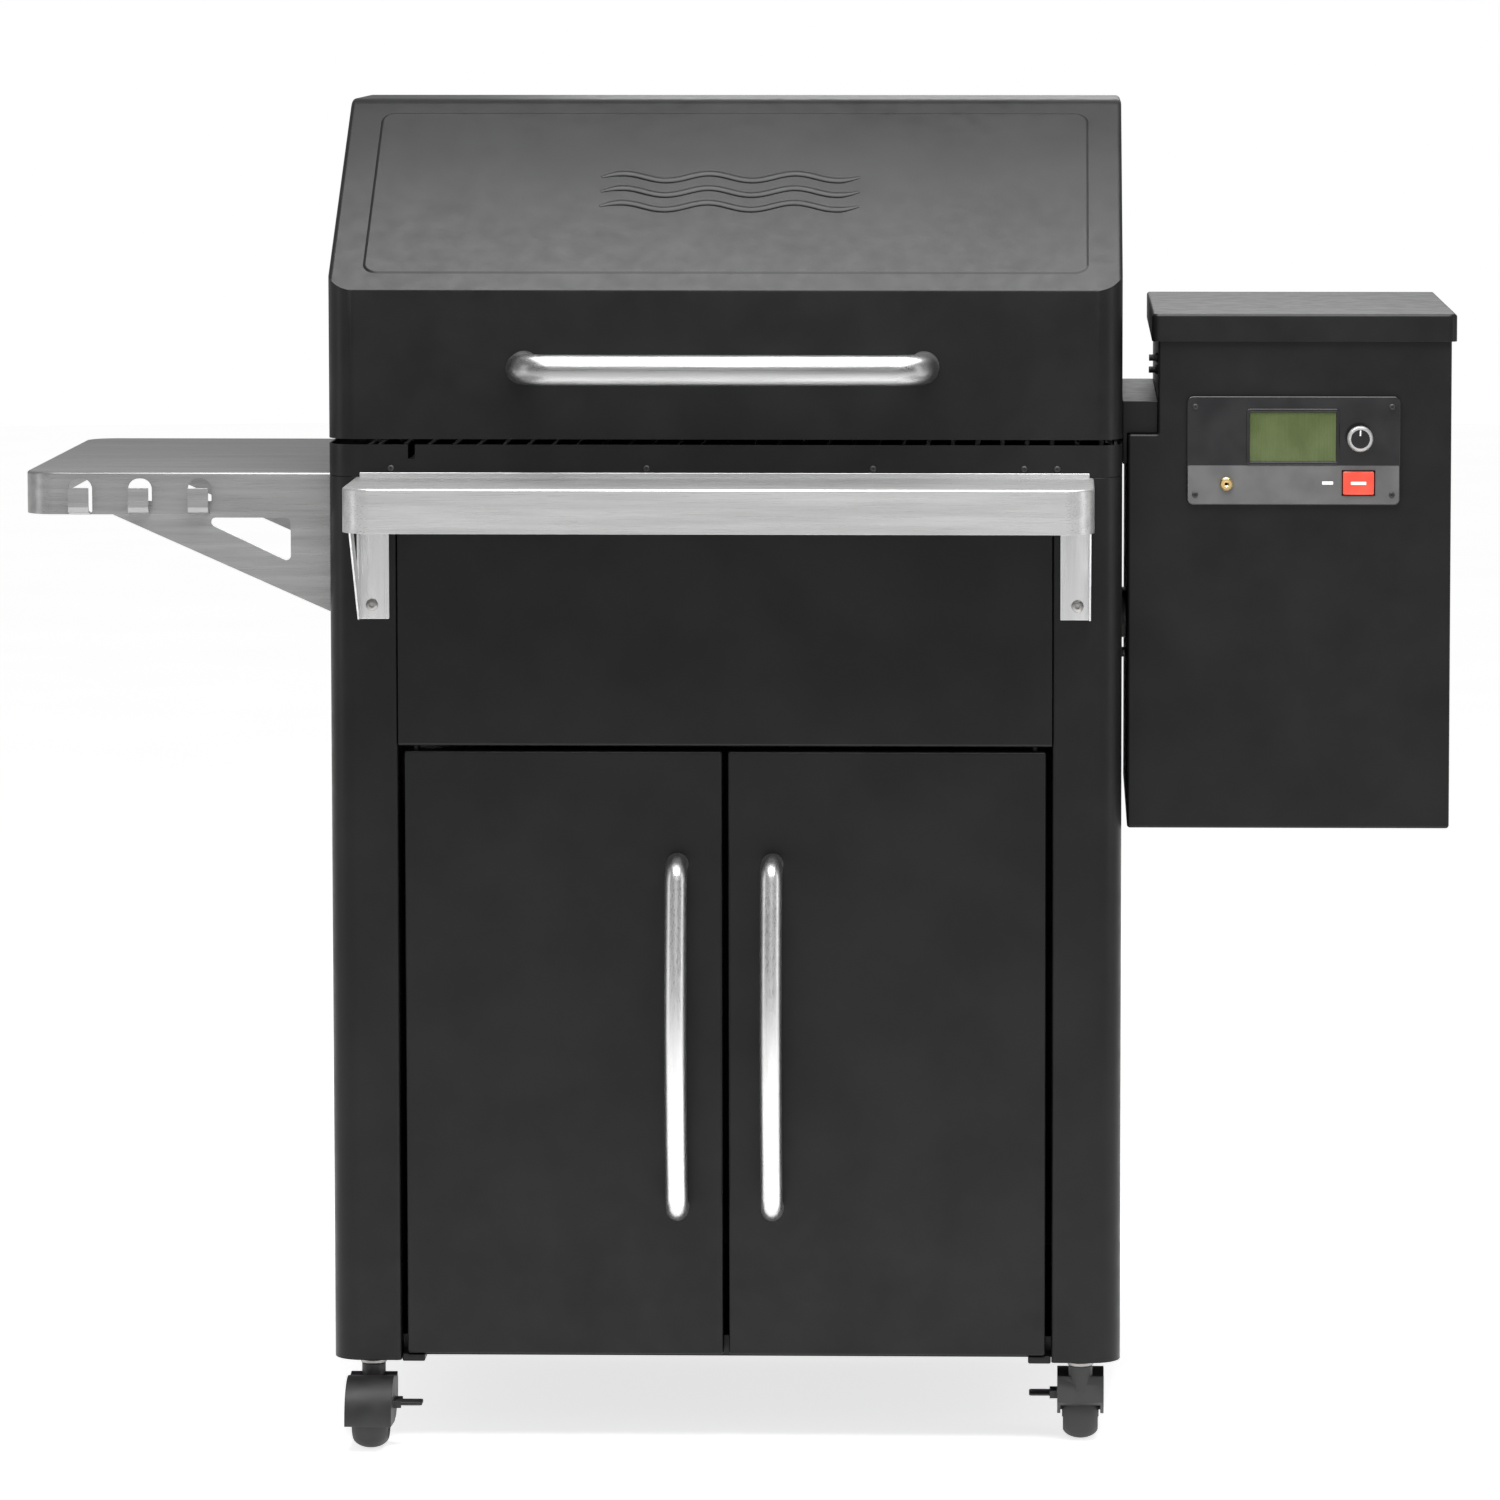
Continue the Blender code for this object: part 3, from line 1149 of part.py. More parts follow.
# -------------------------------------------------------------------- casters
def caster(corner, x, y, heading, with_pedal):
    """One hooded swivel caster; heading is the angle of its trail from +X."""
    plate_low, plate_high = 0.0740, CABINET_BOTTOM - GAP
    stem_plate = rod((x, y, plate_low), (x, y, plate_high), STEM_PLATE_R, 20)
    stem = add_part("caster_stem_" + corner, stem_plate, "bare_steel")
    pin = rod((x, y, 0.0625), (x, y, plate_low + 0.0005), STEM_PIN_R, 16)
    join(stem, add_tool("stem_pin", pin))
    turn = Matrix.Rotation(math.radians(heading), 4, "Z")
    swivel = (x, y, 0.0)
    axle = Vector(swivel) + turn @ Vector((CASTER_TRAIL, 0.0, WHEEL_R))
    fork = add_part("caster_fork_" + corner, moved(hood(), swivel, turn), "black_plastic",
                    (x, y, SWIVEL_Z))
    carve_fork(fork, corner, swivel, turn)
    wheel = turned(wheel_profile(), 20)
    across = turn @ Matrix.Rotation(math.radians(90), 4, "X")
    add_part("caster_wheel_" + corner, moved(wheel, axle, across), "caster_rubber", axle)
    if with_pedal:
        side = 1 if corner == "front_left" else -1
        pedal_on(fork, corner, axle, side)


def hood():
    """Side view of the fork before it is hollowed, with the swivel axis at X = 0."""
    arc = [(CASTER_TRAIL + HOOD_R * math.cos(a), WHEEL_R + HOOD_R * math.sin(a))
           for a in (math.radians(d) for d in range(0, 121, 15))]
    outline = [(CASTER_TRAIL + HOOD_R, WHEEL_R - 0.004), *arc, (-0.006, 0.0640),
               (-0.010, 0.0560), (-0.008, 0.0400), (0.012, 0.0260), (CASTER_TRAIL, 0.0235)]
    return prism(outline, "Y", -FORK_HALF_WIDTH, FORK_HALF_WIDTH)


def carve_fork(fork, corner, swivel, turn):
    """Neck, wheel space, stem bore and axle of one fork."""
    def across(half, radius, segments):
        return rod((CASTER_TRAIL, -half, WHEEL_R), (CASTER_TRAIL, half, WHEEL_R), radius, segments)

    neck = rod((0, 0, NECK_Z[0]), (0, 0, NECK_Z[1]), NECK_R, 20)
    wheel_space = across(WHEEL_SPACE_HALF, WHEEL_SPACE_R, 24)
    bore = rod((0, 0, 0.0610), (0, 0, 0.0800), STEM_BORE_R, 16)
    axle = across(FORK_HALF_WIDTH - 0.0010, AXLE_R, 12)
    join(fork, add_tool("neck_" + corner, moved(neck, swivel, turn)))
    cut(fork, add_tool("wheel_space_" + corner, moved(wheel_space, swivel, turn)),
        add_tool("stem_bore_" + corner, moved(bore, swivel, turn)))
    join(fork, add_tool("axle_" + corner, moved(axle, swivel, turn)))


def wheel_profile():
    """Half section of the wheel about its axle, as (radius, offset) points."""
    bore, half = AXLE_R + 0.0005, WHEEL_HALF_WIDTH
    return [(bore, half), (0.0170, half), (0.0255, half * 0.90), (0.0288, half * 0.66),
            (WHEEL_R, half * 0.30), (WHEEL_R, -half * 0.30), (0.0288, -half * 0.66),
            (0.0255, -half * 0.90), (0.0170, -half), (bore, -half)]


def pedal_on(fork, corner, axle, side):
    """Brake pedal between two ears on the fork's inner cheek; it turns about Y."""
    cheek = axle.x + side * FORK_HALF_WIDTH
    root = cheek + side * 0.0012
    low_x, high_x = sorted((root, root + side * PEDAL_LENGTH))
    body = box((low_x, axle.y - PEDAL_HALF, PEDAL_Z[0]), (high_x, axle.y + PEDAL_HALF, PEDAL_Z[1]))
    hinge = (root + side * PEDAL_PIVOT_IN, axle.y, sum(PEDAL_Z) / 2)
    pedal = add_part("caster_pedal_" + corner, body, "black_plastic", hinge)
    soften(pedal, 0.0010)
    ear_x = sorted((cheek - side * 0.0010, cheek + side * 0.0070))
    ears = merged(*[box((ear_x[0], axle.y + y, 0.0385), (ear_x[1], axle.y + y + 0.0025, 0.0455))
                    for y in (-0.0110, 0.0085)])
    join(fork, add_tool("pedal_ears_" + corner, ears))


def casters():
    caster("front_left", -CASTER_X, CASTER_FRONT_Y, 270.0, True)
    caster("front_right", CASTER_X, CASTER_FRONT_Y, 90.0, True)
    caster("rear_left", -CASTER_X, CASTER_REAR_Y, 270.0, False)
    caster("rear_right", CASTER_X, CASTER_REAR_Y, 270.0, False)


def build():
    side_panels()
    front_fascia()
    back_panel()
    floor_panel()
    door_pivots()
    doors()
    barrel_tub()
    lid()
    cooking_grates()
    fire_parts()
    grease_parts()
    front_shelf()
    shelf_brackets()
    side_shelf()
    hopper_box()
    hopper_lid()
    hopper_inside()
    hopper_connector()
    auger_parts()
    fan_parts()
    controller()
    knob_parts()
    power_inlet()
    rear_vent()
    casters()


build()
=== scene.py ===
"""Looks of the pellet smoker grill: fine surfaces, materials, studio and camera."""

import json
import math

import bmesh
import bpy
from mathutils import Matrix, Vector


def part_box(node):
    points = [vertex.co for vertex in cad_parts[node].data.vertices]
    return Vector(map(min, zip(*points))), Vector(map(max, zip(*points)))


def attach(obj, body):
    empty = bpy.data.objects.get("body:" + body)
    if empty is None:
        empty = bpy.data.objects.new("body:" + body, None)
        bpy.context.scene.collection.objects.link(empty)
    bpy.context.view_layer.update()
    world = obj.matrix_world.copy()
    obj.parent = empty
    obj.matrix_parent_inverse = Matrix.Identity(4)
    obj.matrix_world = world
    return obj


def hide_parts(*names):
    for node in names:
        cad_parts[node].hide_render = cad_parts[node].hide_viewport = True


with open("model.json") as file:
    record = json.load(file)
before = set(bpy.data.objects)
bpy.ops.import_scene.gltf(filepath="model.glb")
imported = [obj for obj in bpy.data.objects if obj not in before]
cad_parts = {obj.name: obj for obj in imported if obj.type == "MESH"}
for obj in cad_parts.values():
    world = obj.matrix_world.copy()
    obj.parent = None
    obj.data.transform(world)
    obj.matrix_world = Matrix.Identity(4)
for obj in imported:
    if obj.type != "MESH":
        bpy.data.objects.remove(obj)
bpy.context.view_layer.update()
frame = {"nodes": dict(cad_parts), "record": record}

NODES = frame["nodes"]

# The grill's design axes: X from the middle of the cabinet, Y from its front plane.
CABINET_X = (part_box("barrel_tub")[0].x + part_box("barrel_tub")[1].x) / 2
FRONT_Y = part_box("barrel_tub")[0].y
HALF_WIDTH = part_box("barrel_tub")[1].x - CABINET_X

SHEET = 0.0020
THIN_SHEET = 0.0015
CORNER_R = 0.0260
JOINT_GAP = 0.0003      # between pieces that meet
PAST = 0.0100           # how far a cutting tool reaches past what it cuts
TINY = 0.0001
SIDES = ((-1, "left"), (1, "right"))
TO_FRONT = Matrix.Rotation(math.radians(90), 4, "X")        # turns +Z to the grill's front


# ---------------------------------------------------------------- mesh helpers
def span(node):
    """Low and high corner of a CAD node in design axes."""
    low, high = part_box(node)
    shift = Vector((CABINET_X, FRONT_Y, 0.0))
    return low - shift, high - shift


def middle(node):
    low, high = span(node)
    return (low + high) / 2


def new_object(name, bm):
    """Object in the scene that takes over a bmesh."""
    mesh = bpy.data.meshes.new(name)
    bm.to_mesh(mesh)
    bm.free()
    obj = bpy.data.objects.new(name, mesh)
    bpy.context.scene.collection.objects.link(obj)
    return obj


def soften_edges(obj, width, segments=2):
    """Round an object's hard edges with a modifier."""
    bevel = obj.modifiers.new("edges", "BEVEL")
    bevel.width = width
    bevel.segments = segments
    bevel.limit_method = "ANGLE"
    bevel.angle_limit = math.radians(40.0)


def finish_piece(name, bm, material, body="cabinet", replaced=(), smooth=35.0, bevel=0.0,
                 segments=2):
    """Turn a bmesh in design axes into a named piece that rides on a body."""
    bmesh.ops.translate(bm, vec=(CABINET_X, FRONT_Y, 0.0), verts=bm.verts)
    obj = new_object(name, bm)
    obj.data.materials.append(material)
    obj.data.shade_smooth()
    obj.data.set_sharp_from_angle(angle=math.radians(smooth))
    if bevel:
        soften_edges(obj, bevel, segments)
    obj.modifiers.new("shading", "WEIGHTED_NORMAL").keep_sharp = True
    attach(obj, body)
    if replaced:
        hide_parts(*replaced)


def renew(node, suffix, bm, material, body="cabinet", **finish):
    """Put a finer piece in the place of one CAD node."""
    finish_piece(node + suffix, bm, material, body, [node], **finish)


def carry(node, material, bevel):
    """Keep a CAD node and give it a real material and softly broken edges."""
    obj = NODES[node]
    obj.data.materials.clear()
    obj.data.materials.append(material)
    obj.data.shade_smooth()
    obj.modifiers.new("weld", "WELD").merge_threshold = 0.00001
    soften_edges(obj, bevel)
    obj.modifiers.new("shading", "WEIGHTED_NORMAL")


def box(low, high):
    """Solid block between two corners."""
    bm = bmesh.new()
    bmesh.ops.create_cube(bm, size=1.0)
    low = Vector(low)
    size = Vector(high) - low
    for vert in bm.verts:
        vert.co = low + Vector((c + 0.5) * s for c, s in zip(vert.co, size))
    return bm


def box_through(low, high, gap, start, end):
    """Block along Y over the frontal outline of a box, grown by a gap all round."""
    return box((low.x - gap, start, low.z - gap), (high.x + gap, end, high.z + gap))


def rod(start, end, radius, segments=32):
    """Solid cylinder between two points."""
    start, end = Vector(start), Vector(end)
    bm = bmesh.new()
    bmesh.ops.create_cone(bm, cap_ends=True, segments=segments, radius1=radius, radius2=radius,
                          depth=(end - start).length)
    turn = Vector((0.0, 0.0, 1.0)).rotation_difference(end - start).to_matrix().to_4x4()
    return placed(bm, (start + end) / 2, turn)


def rod_along(axis, start, end, u, v, radius, segments=32):
    """Solid cylinder along one axis, at a place on the other two."""
    return rod(on_axis(axis, start, u, v), on_axis(axis, end, u, v), radius, segments)


def merged(*meshes):
    """Several bodies in one bmesh."""
    result = bmesh.new()
    for part in meshes:
        scratch = bpy.data.meshes.new("scratch")
        part.to_mesh(scratch)
        part.free()
        result.from_mesh(scratch)
        bpy.data.meshes.remove(scratch)
    return result


def placed(bm, offset, turn=None):
    """Turn a bmesh about the origin, then shift it."""
    matrix = Matrix.Translation(offset)
    if turn is not None:
        matrix = matrix @ turn
    bmesh.ops.transform(bm, matrix=matrix, verts=bm.verts)
    return bm


def on_axis(axis, along, u, v):
    return {"X": (along, u, v), "Y": (u, along, v), "Z": (u, v, along)}[axis]


def fillet(before, corner, after, radius):
    """Centre of the arc that rounds a corner, and the arc's two ends as seen from there."""
    to_before = (before - corner).normalized()
    to_after = (after - corner).normalized()
    half = to_before.angle(to_after) / 2
    centre = corner + (to_before + to_after).normalized() * (radius / math.sin(half))
    reach = radius / math.tan(half)
    return centre, corner + to_before * reach - centre, corner + to_after * reach - centre


def arc_corner(before, corner, after, radius, steps):
    """Points of the arc that rounds one corner of an outline."""
    centre, first, last = fillet(Vector(before), Vector(corner), Vector(after), radius)
    start = math.atan2(first.y, first.x)
    sweep = math.atan2(last.y, last.x) - start
    sweep = (sweep + math.pi) % (2 * math.pi) - math.pi
    angles = [start + sweep * k / steps for k in range(steps + 1)]
    return [(centre.x + radius * math.cos(a), centre.y + radius * math.sin(a)) for a in angles]


def rounded(points, radii, steps=6, closed=True):
    """Outline whose corners have the given radii; a zero radius stays sharp."""
    result = []
    count = len(points)
    for index, (point, radius) in enumerate(zip(points, radii)):
        is_end = not closed and index in (0, count - 1)
        if radius == 0 or is_end:
            result.append(point)
        else:
            after = points[(index + 1) % count]
            result += arc_corner(points[index - 1], point, after, radius, steps)
    return result


def rectangle(low_u, low_v, high_u, high_v, radii, steps=6):
    """Counter-clockwise rectangle from its low corner, with a radius at each corner."""
    corners = [(low_u, low_v), (high_u, low_v), (high_u, high_v), (low_u, high_v)]
    return rounded(corners, radii, steps)


def smooth_path(corners, radii, steps=8):
    """Bent-wire path in 3D: straight runs joined by arcs of the given radii."""
    corners = [Vector(corner) for corner in corners]
    points = [corners[0]]
    for before, corner, after, radius in zip(corners, corners[1:], corners[2:], radii):
        if radius == 0:
            points.append(corner)
            continue
        centre, first, last = fillet(before, corner, after, radius)
        points += [centre + first.slerp(last, k / steps).normalized() * radius
                   for k in range(steps + 1)]
    return [*points, corners[-1]]


def prism(outline, axis, start, end):
    """Solid with the given section, run along one axis."""
    bm = bmesh.new()
    face = bm.faces.new([bm.verts.new(on_axis(axis, start, u, v)) for u, v in outline])
    top = bmesh.ops.extrude_face_region(bm, geom=[face])["geom"]
    moved = [item for item in top if isinstance(item, bmesh.types.BMVert)]
    bmesh.ops.translate(bm, vec=on_axis(axis, end - start, 0.0, 0.0), verts=moved)
    bmesh.ops.recalc_face_normals(bm, faces=bm.faces)
    return bm


def folded(path, axis, start, end):
    """Open surface of a folded sheet; its outside is on the right of the path."""
    bm = bmesh.new()
    near = [bm.verts.new(on_axis(axis, start, u, v)) for u, v in path]
    far = [bm.verts.new(on_axis(axis, end, u, v)) for u, v in path]
    for i in range(len(path) - 1):
        bm.faces.new((near[i], near[i + 1], far[i + 1], far[i]))
    return bm


def skin(rings):
    """Closed solid over rings of equally many points, with a flat cap at each end."""
    bm = bmesh.new()
    rings = [[bm.verts.new(point) for point in ring] for ring in rings]
    count = len(rings[0])
    for near, far in zip(rings, rings[1:]):
        for k in range(count):
            after = (k + 1) % count
            bm.faces.new((near[k], near[after], far[after], far[k]))
    bm.faces.new(rings[0])
    bm.faces.new(rings[-1])
    bmesh.ops.recalc_face_normals(bm, faces=bm.faces)
    return bm


def ring_frames(points):
    """Axes of a round bar's rings along a path that doesn't twist."""
    points = [Vector(p) for p in points]
    tangents = []
    for i in range(len(points)):
        before, after = points[max(i - 1, 0)], points[min(i + 1, len(points) - 1)]
        tangents.append((after - before).normalized())
    side = tangents[0].orthogonal().normalized()
    frames = []
    for point, tangent in zip(points, tangents):
        side = (side - tangent * side.dot(tangent)).normalized()
        frames.append((point, side, tangent.cross(side)))
    return frames


def swept(points, radii, sides=24):
    """Round bar along points with flat ends, of one radius or of one for each point."""
    if not isinstance(radii, list):
        radii = [radii] * len(points)
    angles = [2 * math.pi * k / sides for k in range(sides)]
    return skin([[point + (side * math.cos(a) + other * math.sin(a)) * radius for a in angles]
                 for (point, side, other), radius in zip(ring_frames(points), radii)])


def turned(profile, segments=48):
    """Body of revolution about Z from (radius, height) points, closed on itself or the axis."""
    bm = bmesh.new()
    verts = [bm.verts.new((r, 0.0, z)) for r, z in profile]
    edges = [bm.edges.new(pair) for pair in zip(verts, verts[1:])]
    if profile[0][0] > 0:
        edges.append(bm.edges.new((verts[-1], verts[0])))
    bmesh.ops.spin(bm, geom=[*verts, *edges], axis=(0, 0, 1), cent=(0, 0, 0),
                   angle=2 * math.pi, steps=segments)
    bmesh.ops.remove_doubles(bm, verts=bm.verts, dist=0.000005)
    bmesh.ops.recalc_face_normals(bm, faces=bm.faces)
    return bm


def boolean_result(target, tools, operation="DIFFERENCE"):
    """Cut tools out of a closed body, or join them to it."""
    base = new_object("scratch", target)
    helpers = [new_object("scratch", tool) for tool in tools]
    for helper in helpers:
        modifier = base.modifiers.new("cut", "BOOLEAN")
        modifier.operation = operation
        modifier.solver = "EXACT"
        modifier.object = helper
    return take_result(base, *helpers)


def shell(bm, thickness):
    """Closed sheet-metal body of an open surface, thickened inwards."""
    obj = new_object("scratch", bm)
    modifier = obj.modifiers.new("sheet", "SOLIDIFY")
    modifier.thickness = thickness
    modifier.offset = -1.0
    modifier.use_even_offset = True
    return take_result(obj)


def take_result(obj, *helpers):
    """Bmesh of an object's evaluated mesh; the object and its helpers are removed."""
    graph = bpy.context.evaluated_depsgraph_get()
    mesh = bpy.data.meshes.new_from_object(obj.evaluated_get(graph))
    result = bmesh.new()
    result.from_mesh(mesh)
    bpy.data.meshes.remove(mesh)
    for item in (obj, *helpers):
        data = item.data
        bpy.data.objects.remove(item)
        bpy.data.meshes.remove(data)
    return result


def bevelled(bm, width, segments, chosen=lambda edge: True):
    """Round the edges that a test picks, or all of them."""
    edges = [edge for edge in bm.edges if chosen(edge)]
    bmesh.ops.bevel(bm, geom=edges, offset=width, offset_type="OFFSET", segments=segments,
                    profile=0.5, affect="EDGES")
    return bm


def is_level(edge):
    return abs(edge.verts[0].co.z - edge.verts[1].co.z) < TINY


def is_hard(edge, angle=1.0):
    """Whether two faces meet at an edge at more than an angle in radians."""
    return len(edge.link_faces) == 2 and edge.calc_face_angle() > angle


def round_top(bm, width, top):
    """Round the edges that run round a body's flat top."""
    return bevelled(bm, width, 5, lambda edge: is_level(edge) and is_hard(edge)
                    and edge.verts[0].co.z > top - TINY)


def remove_plane(bm, axis, place):
    """Delete the faces that lie wholly in one plane."""
    k = "XYZ".index(axis)
    doomed = [f for f in bm.faces if all(abs(v.co[k] - place) < TINY for v in f.verts)]
    bmesh.ops.delete(bm, geom=doomed, context="FACES")


# ------------------------------------------------------------------- materials
EVEN = (1.0, 1.0, 1.0)
WHITE = (1.0, 1.0, 1.0, 1.0)


def feed(tree, node, **inputs):
    """Set a node's inputs to plain values or link other nodes' outputs to them."""
    for name, value in inputs.items():
        socket = node.inputs[name.replace("_", " ")]
        if isinstance(value, bpy.types.NodeSocket):
            tree.links.new(value, socket)
        else:
            socket.default_value = value


def add_node(tree, kind, output, **inputs):
    """One output of a new node with the given inputs."""
    node = tree.nodes.new("ShaderNode" + kind)
    feed(tree, node, **inputs)
    return node.outputs[output]


def noise(tree, scale, detail=4.0, stretch=EVEN):
    """Noise in the piece's own metres; a small stretch factor draws it out along that axis."""
    place = add_node(tree, "TexCoord", "Object")
    place = add_node(tree, "Mapping", "Vector", Vector=place, Scale=stretch)
    return add_node(tree, "TexNoise", "Fac", Vector=place, Scale=scale, Detail=detail)


def colours(tree, source, dark, light):
    """Colour that runs from dark to light with a source."""
    output = add_node(tree, "ValToRGB", "Color", Fac=source)
    stops = output.node.color_ramp.elements
    for stop, place, colour in zip(stops, (0.35, 0.65), (dark, light)):
        stop.position = place
        stop.color = (*colour, 1.0)
    return output


def surface(name, slot, noises, colour, rough, relief=(), **sockets):
    """Material whose colour, roughness and bumps (in metres) follow its named noises."""
    material = bpy.data.materials.new(name)
    material.use_nodes = True
    tree = material.node_tree
    field = {key: noise(tree, *settings) for key, settings in noises.items()}
    source, low, high = rough
    roughness = add_node(tree, "MapRange", "Result", Value=field[source], From_Min=0.3,
                         From_Max=0.7, To_Min=low, To_Max=high)
    feed(tree, tree.nodes["Principled BSDF"], Roughness=roughness,
         Base_Color=colours(tree, field[colour[0]], *colour[1:]), **sockets)
    target = tree.nodes["Principled BSDF"].inputs["Normal"]
    for source, height in reversed(relief):
        bump = add_node(tree, "Bump", "Normal", Strength=1.0, Distance=height,
                        Height=field[source])
        tree.links.new(bump, target)
        target = bump.node.inputs["Normal"]
    return material


def brushed_steel(name, along, metallic, dark, light):
    """Stainless whose brush lines run along one axis; dust leaves it a little matt."""
    fine, coarse = [tuple(factor if axis == along else 1.0 for axis in "XYZ")
                    for factor in (0.012, 0.05)]
    return surface(name, "stainless",
                   {"lines": (1400.0, 3.0, fine), "streaks": (120.0, 4.0, coarse)},
                   ("streaks", (dark,) * 3, (light,) * 3), ("lines", 0.24, 0.40),
                   [("lines", 0.000006), ("streaks", 0.000006)], Metallic=metallic)


def moulded(name, slot, dark, light, rough, grain_height):
    """Moulded plastic, rubber or print with a fine grain."""
    return surface(name, slot, {"grain": (900.0, 2.0), "clouds": (45.0,)},
                   ("clouds", dark, light), ("clouds", *rough), [("grain", grain_height)])


# Satin black powder coat: orange peel, faint clouding and a few dull patches.
COAT = surface("powder_coat", "black_coat",
               {"clouds": (14.0,), "peel": (420.0, 2.0), "grain": (60.0, 5.0)},
               ("clouds", (0.0048, 0.0048, 0.0051), (0.0078, 0.0078, 0.0081)),
               ("grain", 0.30, 0.40), [("peel", 0.00004), ("grain", 0.00004)],
               Metallic=0.0, Specular_IOR_Level=0.22)
STEEL_X = brushed_steel("brushed_steel_along_x", "X", 0.70, 0.42, 0.50)
# Darker copy of the brushed stainless for the side shelf and its hooks: painted shade.
STEEL_SHELF_PAINTED_SHADE = brushed_steel("brushed_steel_side_shelf_painted_shade", "X", 0.75, 0.27, 0.34)
# Darker copy of the brushed stainless for the lid handle: painted shade that dims its
# reflection.
STEEL_TUBE_PAINTED_SHADE = brushed_steel("brushed_steel_tube_painted_shade", "X", 1.0, 0.30, 0.37)
STEEL_Z = brushed_steel("brushed_steel_along_z", "Z", 1.0, 0.60, 0.72)
# Plain zinc or heat-dulled steel inside the grill.
DULL = surface("dull_steel", "bare_steel", {"spangle": (90.0, 5.0), "fine": (700.0, 3.0)},
               ("spangle", (0.30, 0.29, 0.28), (0.44, 0.43, 0.42)), ("spangle", 0.36, 0.58),
               [("fine", 0.00004)], Metallic=1.0)
# Thick black enamel on the cooking grate, slightly wavy.
ENAMEL = surface("enamel", "enamelled_grate", {"waves": (160.0, 3.0)},
                 ("waves", (0.010, 0.010, 0.010), (0.022, 0.021, 0.020)),
                 ("waves", 0.28, 0.42), [("waves", 0.00015)], Coat_Weight=0.4,
                 Coat_Roughness=0.15)
PLASTIC = moulded("black_plastic", "black_plastic", (0.012, 0.012, 0.012),
                  (0.020, 0.020, 0.021), (0.42, 0.55), 0.00005)
GLOSS = moulded("gloss_plastic", "gloss_plastic", (0.006, 0.006, 0.007), (0.010, 0.010, 0.011),
                (0.10, 0.20), 0.00001)
STRIP = moulded("grey_panel_print", "black_plastic", (0.075, 0.075, 0.075),
                (0.095, 0.095, 0.095), (0.35, 0.45), 0.00002)
RED = moulded("red_plastic", "red_plastic", (0.70, 0.050, 0.028), (0.82, 0.075, 0.040),
              (0.28, 0.36), 0.00002)
MARKING = moulded("white_print", "black_plastic", (0.78, 0.78, 0.78), (0.86, 0.86, 0.86),
                  (0.45, 0.55), 0.00001)
RUBBER = moulded("caster_rubber", "caster_rubber", (0.009, 0.009, 0.009), (0.018, 0.018, 0.018),
                 (0.50, 0.68), 0.00006)
# Backlit green liquid-crystal screen behind a clear window, with faint cell rows.
GLASS = surface("display_glass", "display_glass",
                {"rows": (700.0, 1.0, (1.0, 1.0, 0.02)), "cloud": (30.0,)},
                ("cloud", (0.050, 0.070, 0.021), (0.072, 0.094, 0.033)), ("rows", 0.20, 0.32),
                [("rows", 0.00001)], Specular_IOR_Level=0.25, Coat_Weight=0.3,
                Coat_Roughness=0.04)
# Turned brass with fine tool marks.
BRASS = surface("brass", "brass", {"marks": (1500.0, 3.0, (1.0, 0.1, 1.0))},
                ("marks", (0.60, 0.42, 0.17), (0.80, 0.60, 0.28)), ("marks", 0.22, 0.38),
                [("marks", 0.00001)], Metallic=1.0)

CASTER_CORNERS = ("front_left", "front_right", "rear_left", "rear_right")
CARRIED = (
    (COAT, 0.0004, ("back_panel", "floor_panel", "grease_bucket_bracket")),
    (COAT, 0.0005, ("rear_vent",)),
    (COAT, 0.0008, ("hopper_connector",)),
    (DULL, 0.0004, ("heat_baffle", "drip_tray", "lid_hinge", "lid_hinge_leaf")),
    (DULL, 0.0005, ("hopper_bin", "auger_tube")),
    (DULL, 0.0008, ("hopper_guard", "auger_motor")),
    (PLASTIC, 0.0003, ("fan_impeller", "knob_stem")),
    (PLASTIC, 0.0008, ("fan_housing", "power_inlet")),
    (PLASTIC, 0.0012, ["caster_fork_" + corner for corner in CASTER_CORNERS]),
    (PLASTIC, 0.0012, ["caster_pedal_" + corner for corner in CASTER_CORNERS[:2]]),
)


def carried_nodes():
    """Nodes that stay as the CAD made them, with a real surface and broken edges."""
    for material, bevel, nodes in CARRIED:
        for node in nodes:
            carry(node, material, bevel)


# --------------------------------------------------------------------- cabinet
COLUMN_LIP = 0.0220
BACK_LIP = 0.0235
FASCIA_FOLD = 0.0150
FASCIA_BOTTOM = 0.6490
PIVOT_X = abs(middle("door_pivot_right").x) - 0.0047
PIVOT_Y = 0.0110
PIVOT_BLOCK_TOP = 0.0838
UPPER_PIN_TOP = 0.6500
PIN_R = 0.0030
AIR_HOLE_R = 0.0400
HANDLE_BOW = 0.0200
HANDLE_BEND = 0.0160


def mirrored(path):
    """A plan path on the other side of the grill, still with its outside on the right."""
    return [(-u, v) for u, v in reversed(path)]


def wall_holes(start, end):
    """Holes for the feed tube, the igniter and the fan's air, between two places in X."""
    holes = []
    for node, radius in (("auger_tube", 0), ("igniter_rod", 0), ("fan_impeller", AIR_HOLE_R)):
        low, high = span(node)
        centre = (low + high) / 2
        radius = radius or (high.z - low.z) / 2 + 0.0005
        holes.append(rod_along("X", start, end, centre.y, centre.z, radius, 40))
    return holes


def side_panels():
    """Side sheets that wrap round the front as columns and turn in at the back."""
    for side, word in SIDES:
        node = "side_panel_" + word
        low, high = span(node)
        edge = min(abs(low.x), abs(high.x))
        corners = [(edge, COLUMN_LIP), (edge, 0.0), (HALF_WIDTH, 0.0), (HALF_WIDTH, high.y),
                   (HALF_WIDTH - BACK_LIP, high.y)]
        path = rounded(corners, [0, 0.0035, CORNER_R, 0.004, 0], 14, closed=False)
        path = path if side > 0 else mirrored(path)
        bm = shell(folded(path, "Z", low.z, high.z), SHEET)
        if side > 0:
            bm = boolean_result(bm, wall_holes(0.330, 0.3708))
        renew(node, "_sheet", bm, COAT, bevel=0.0005)


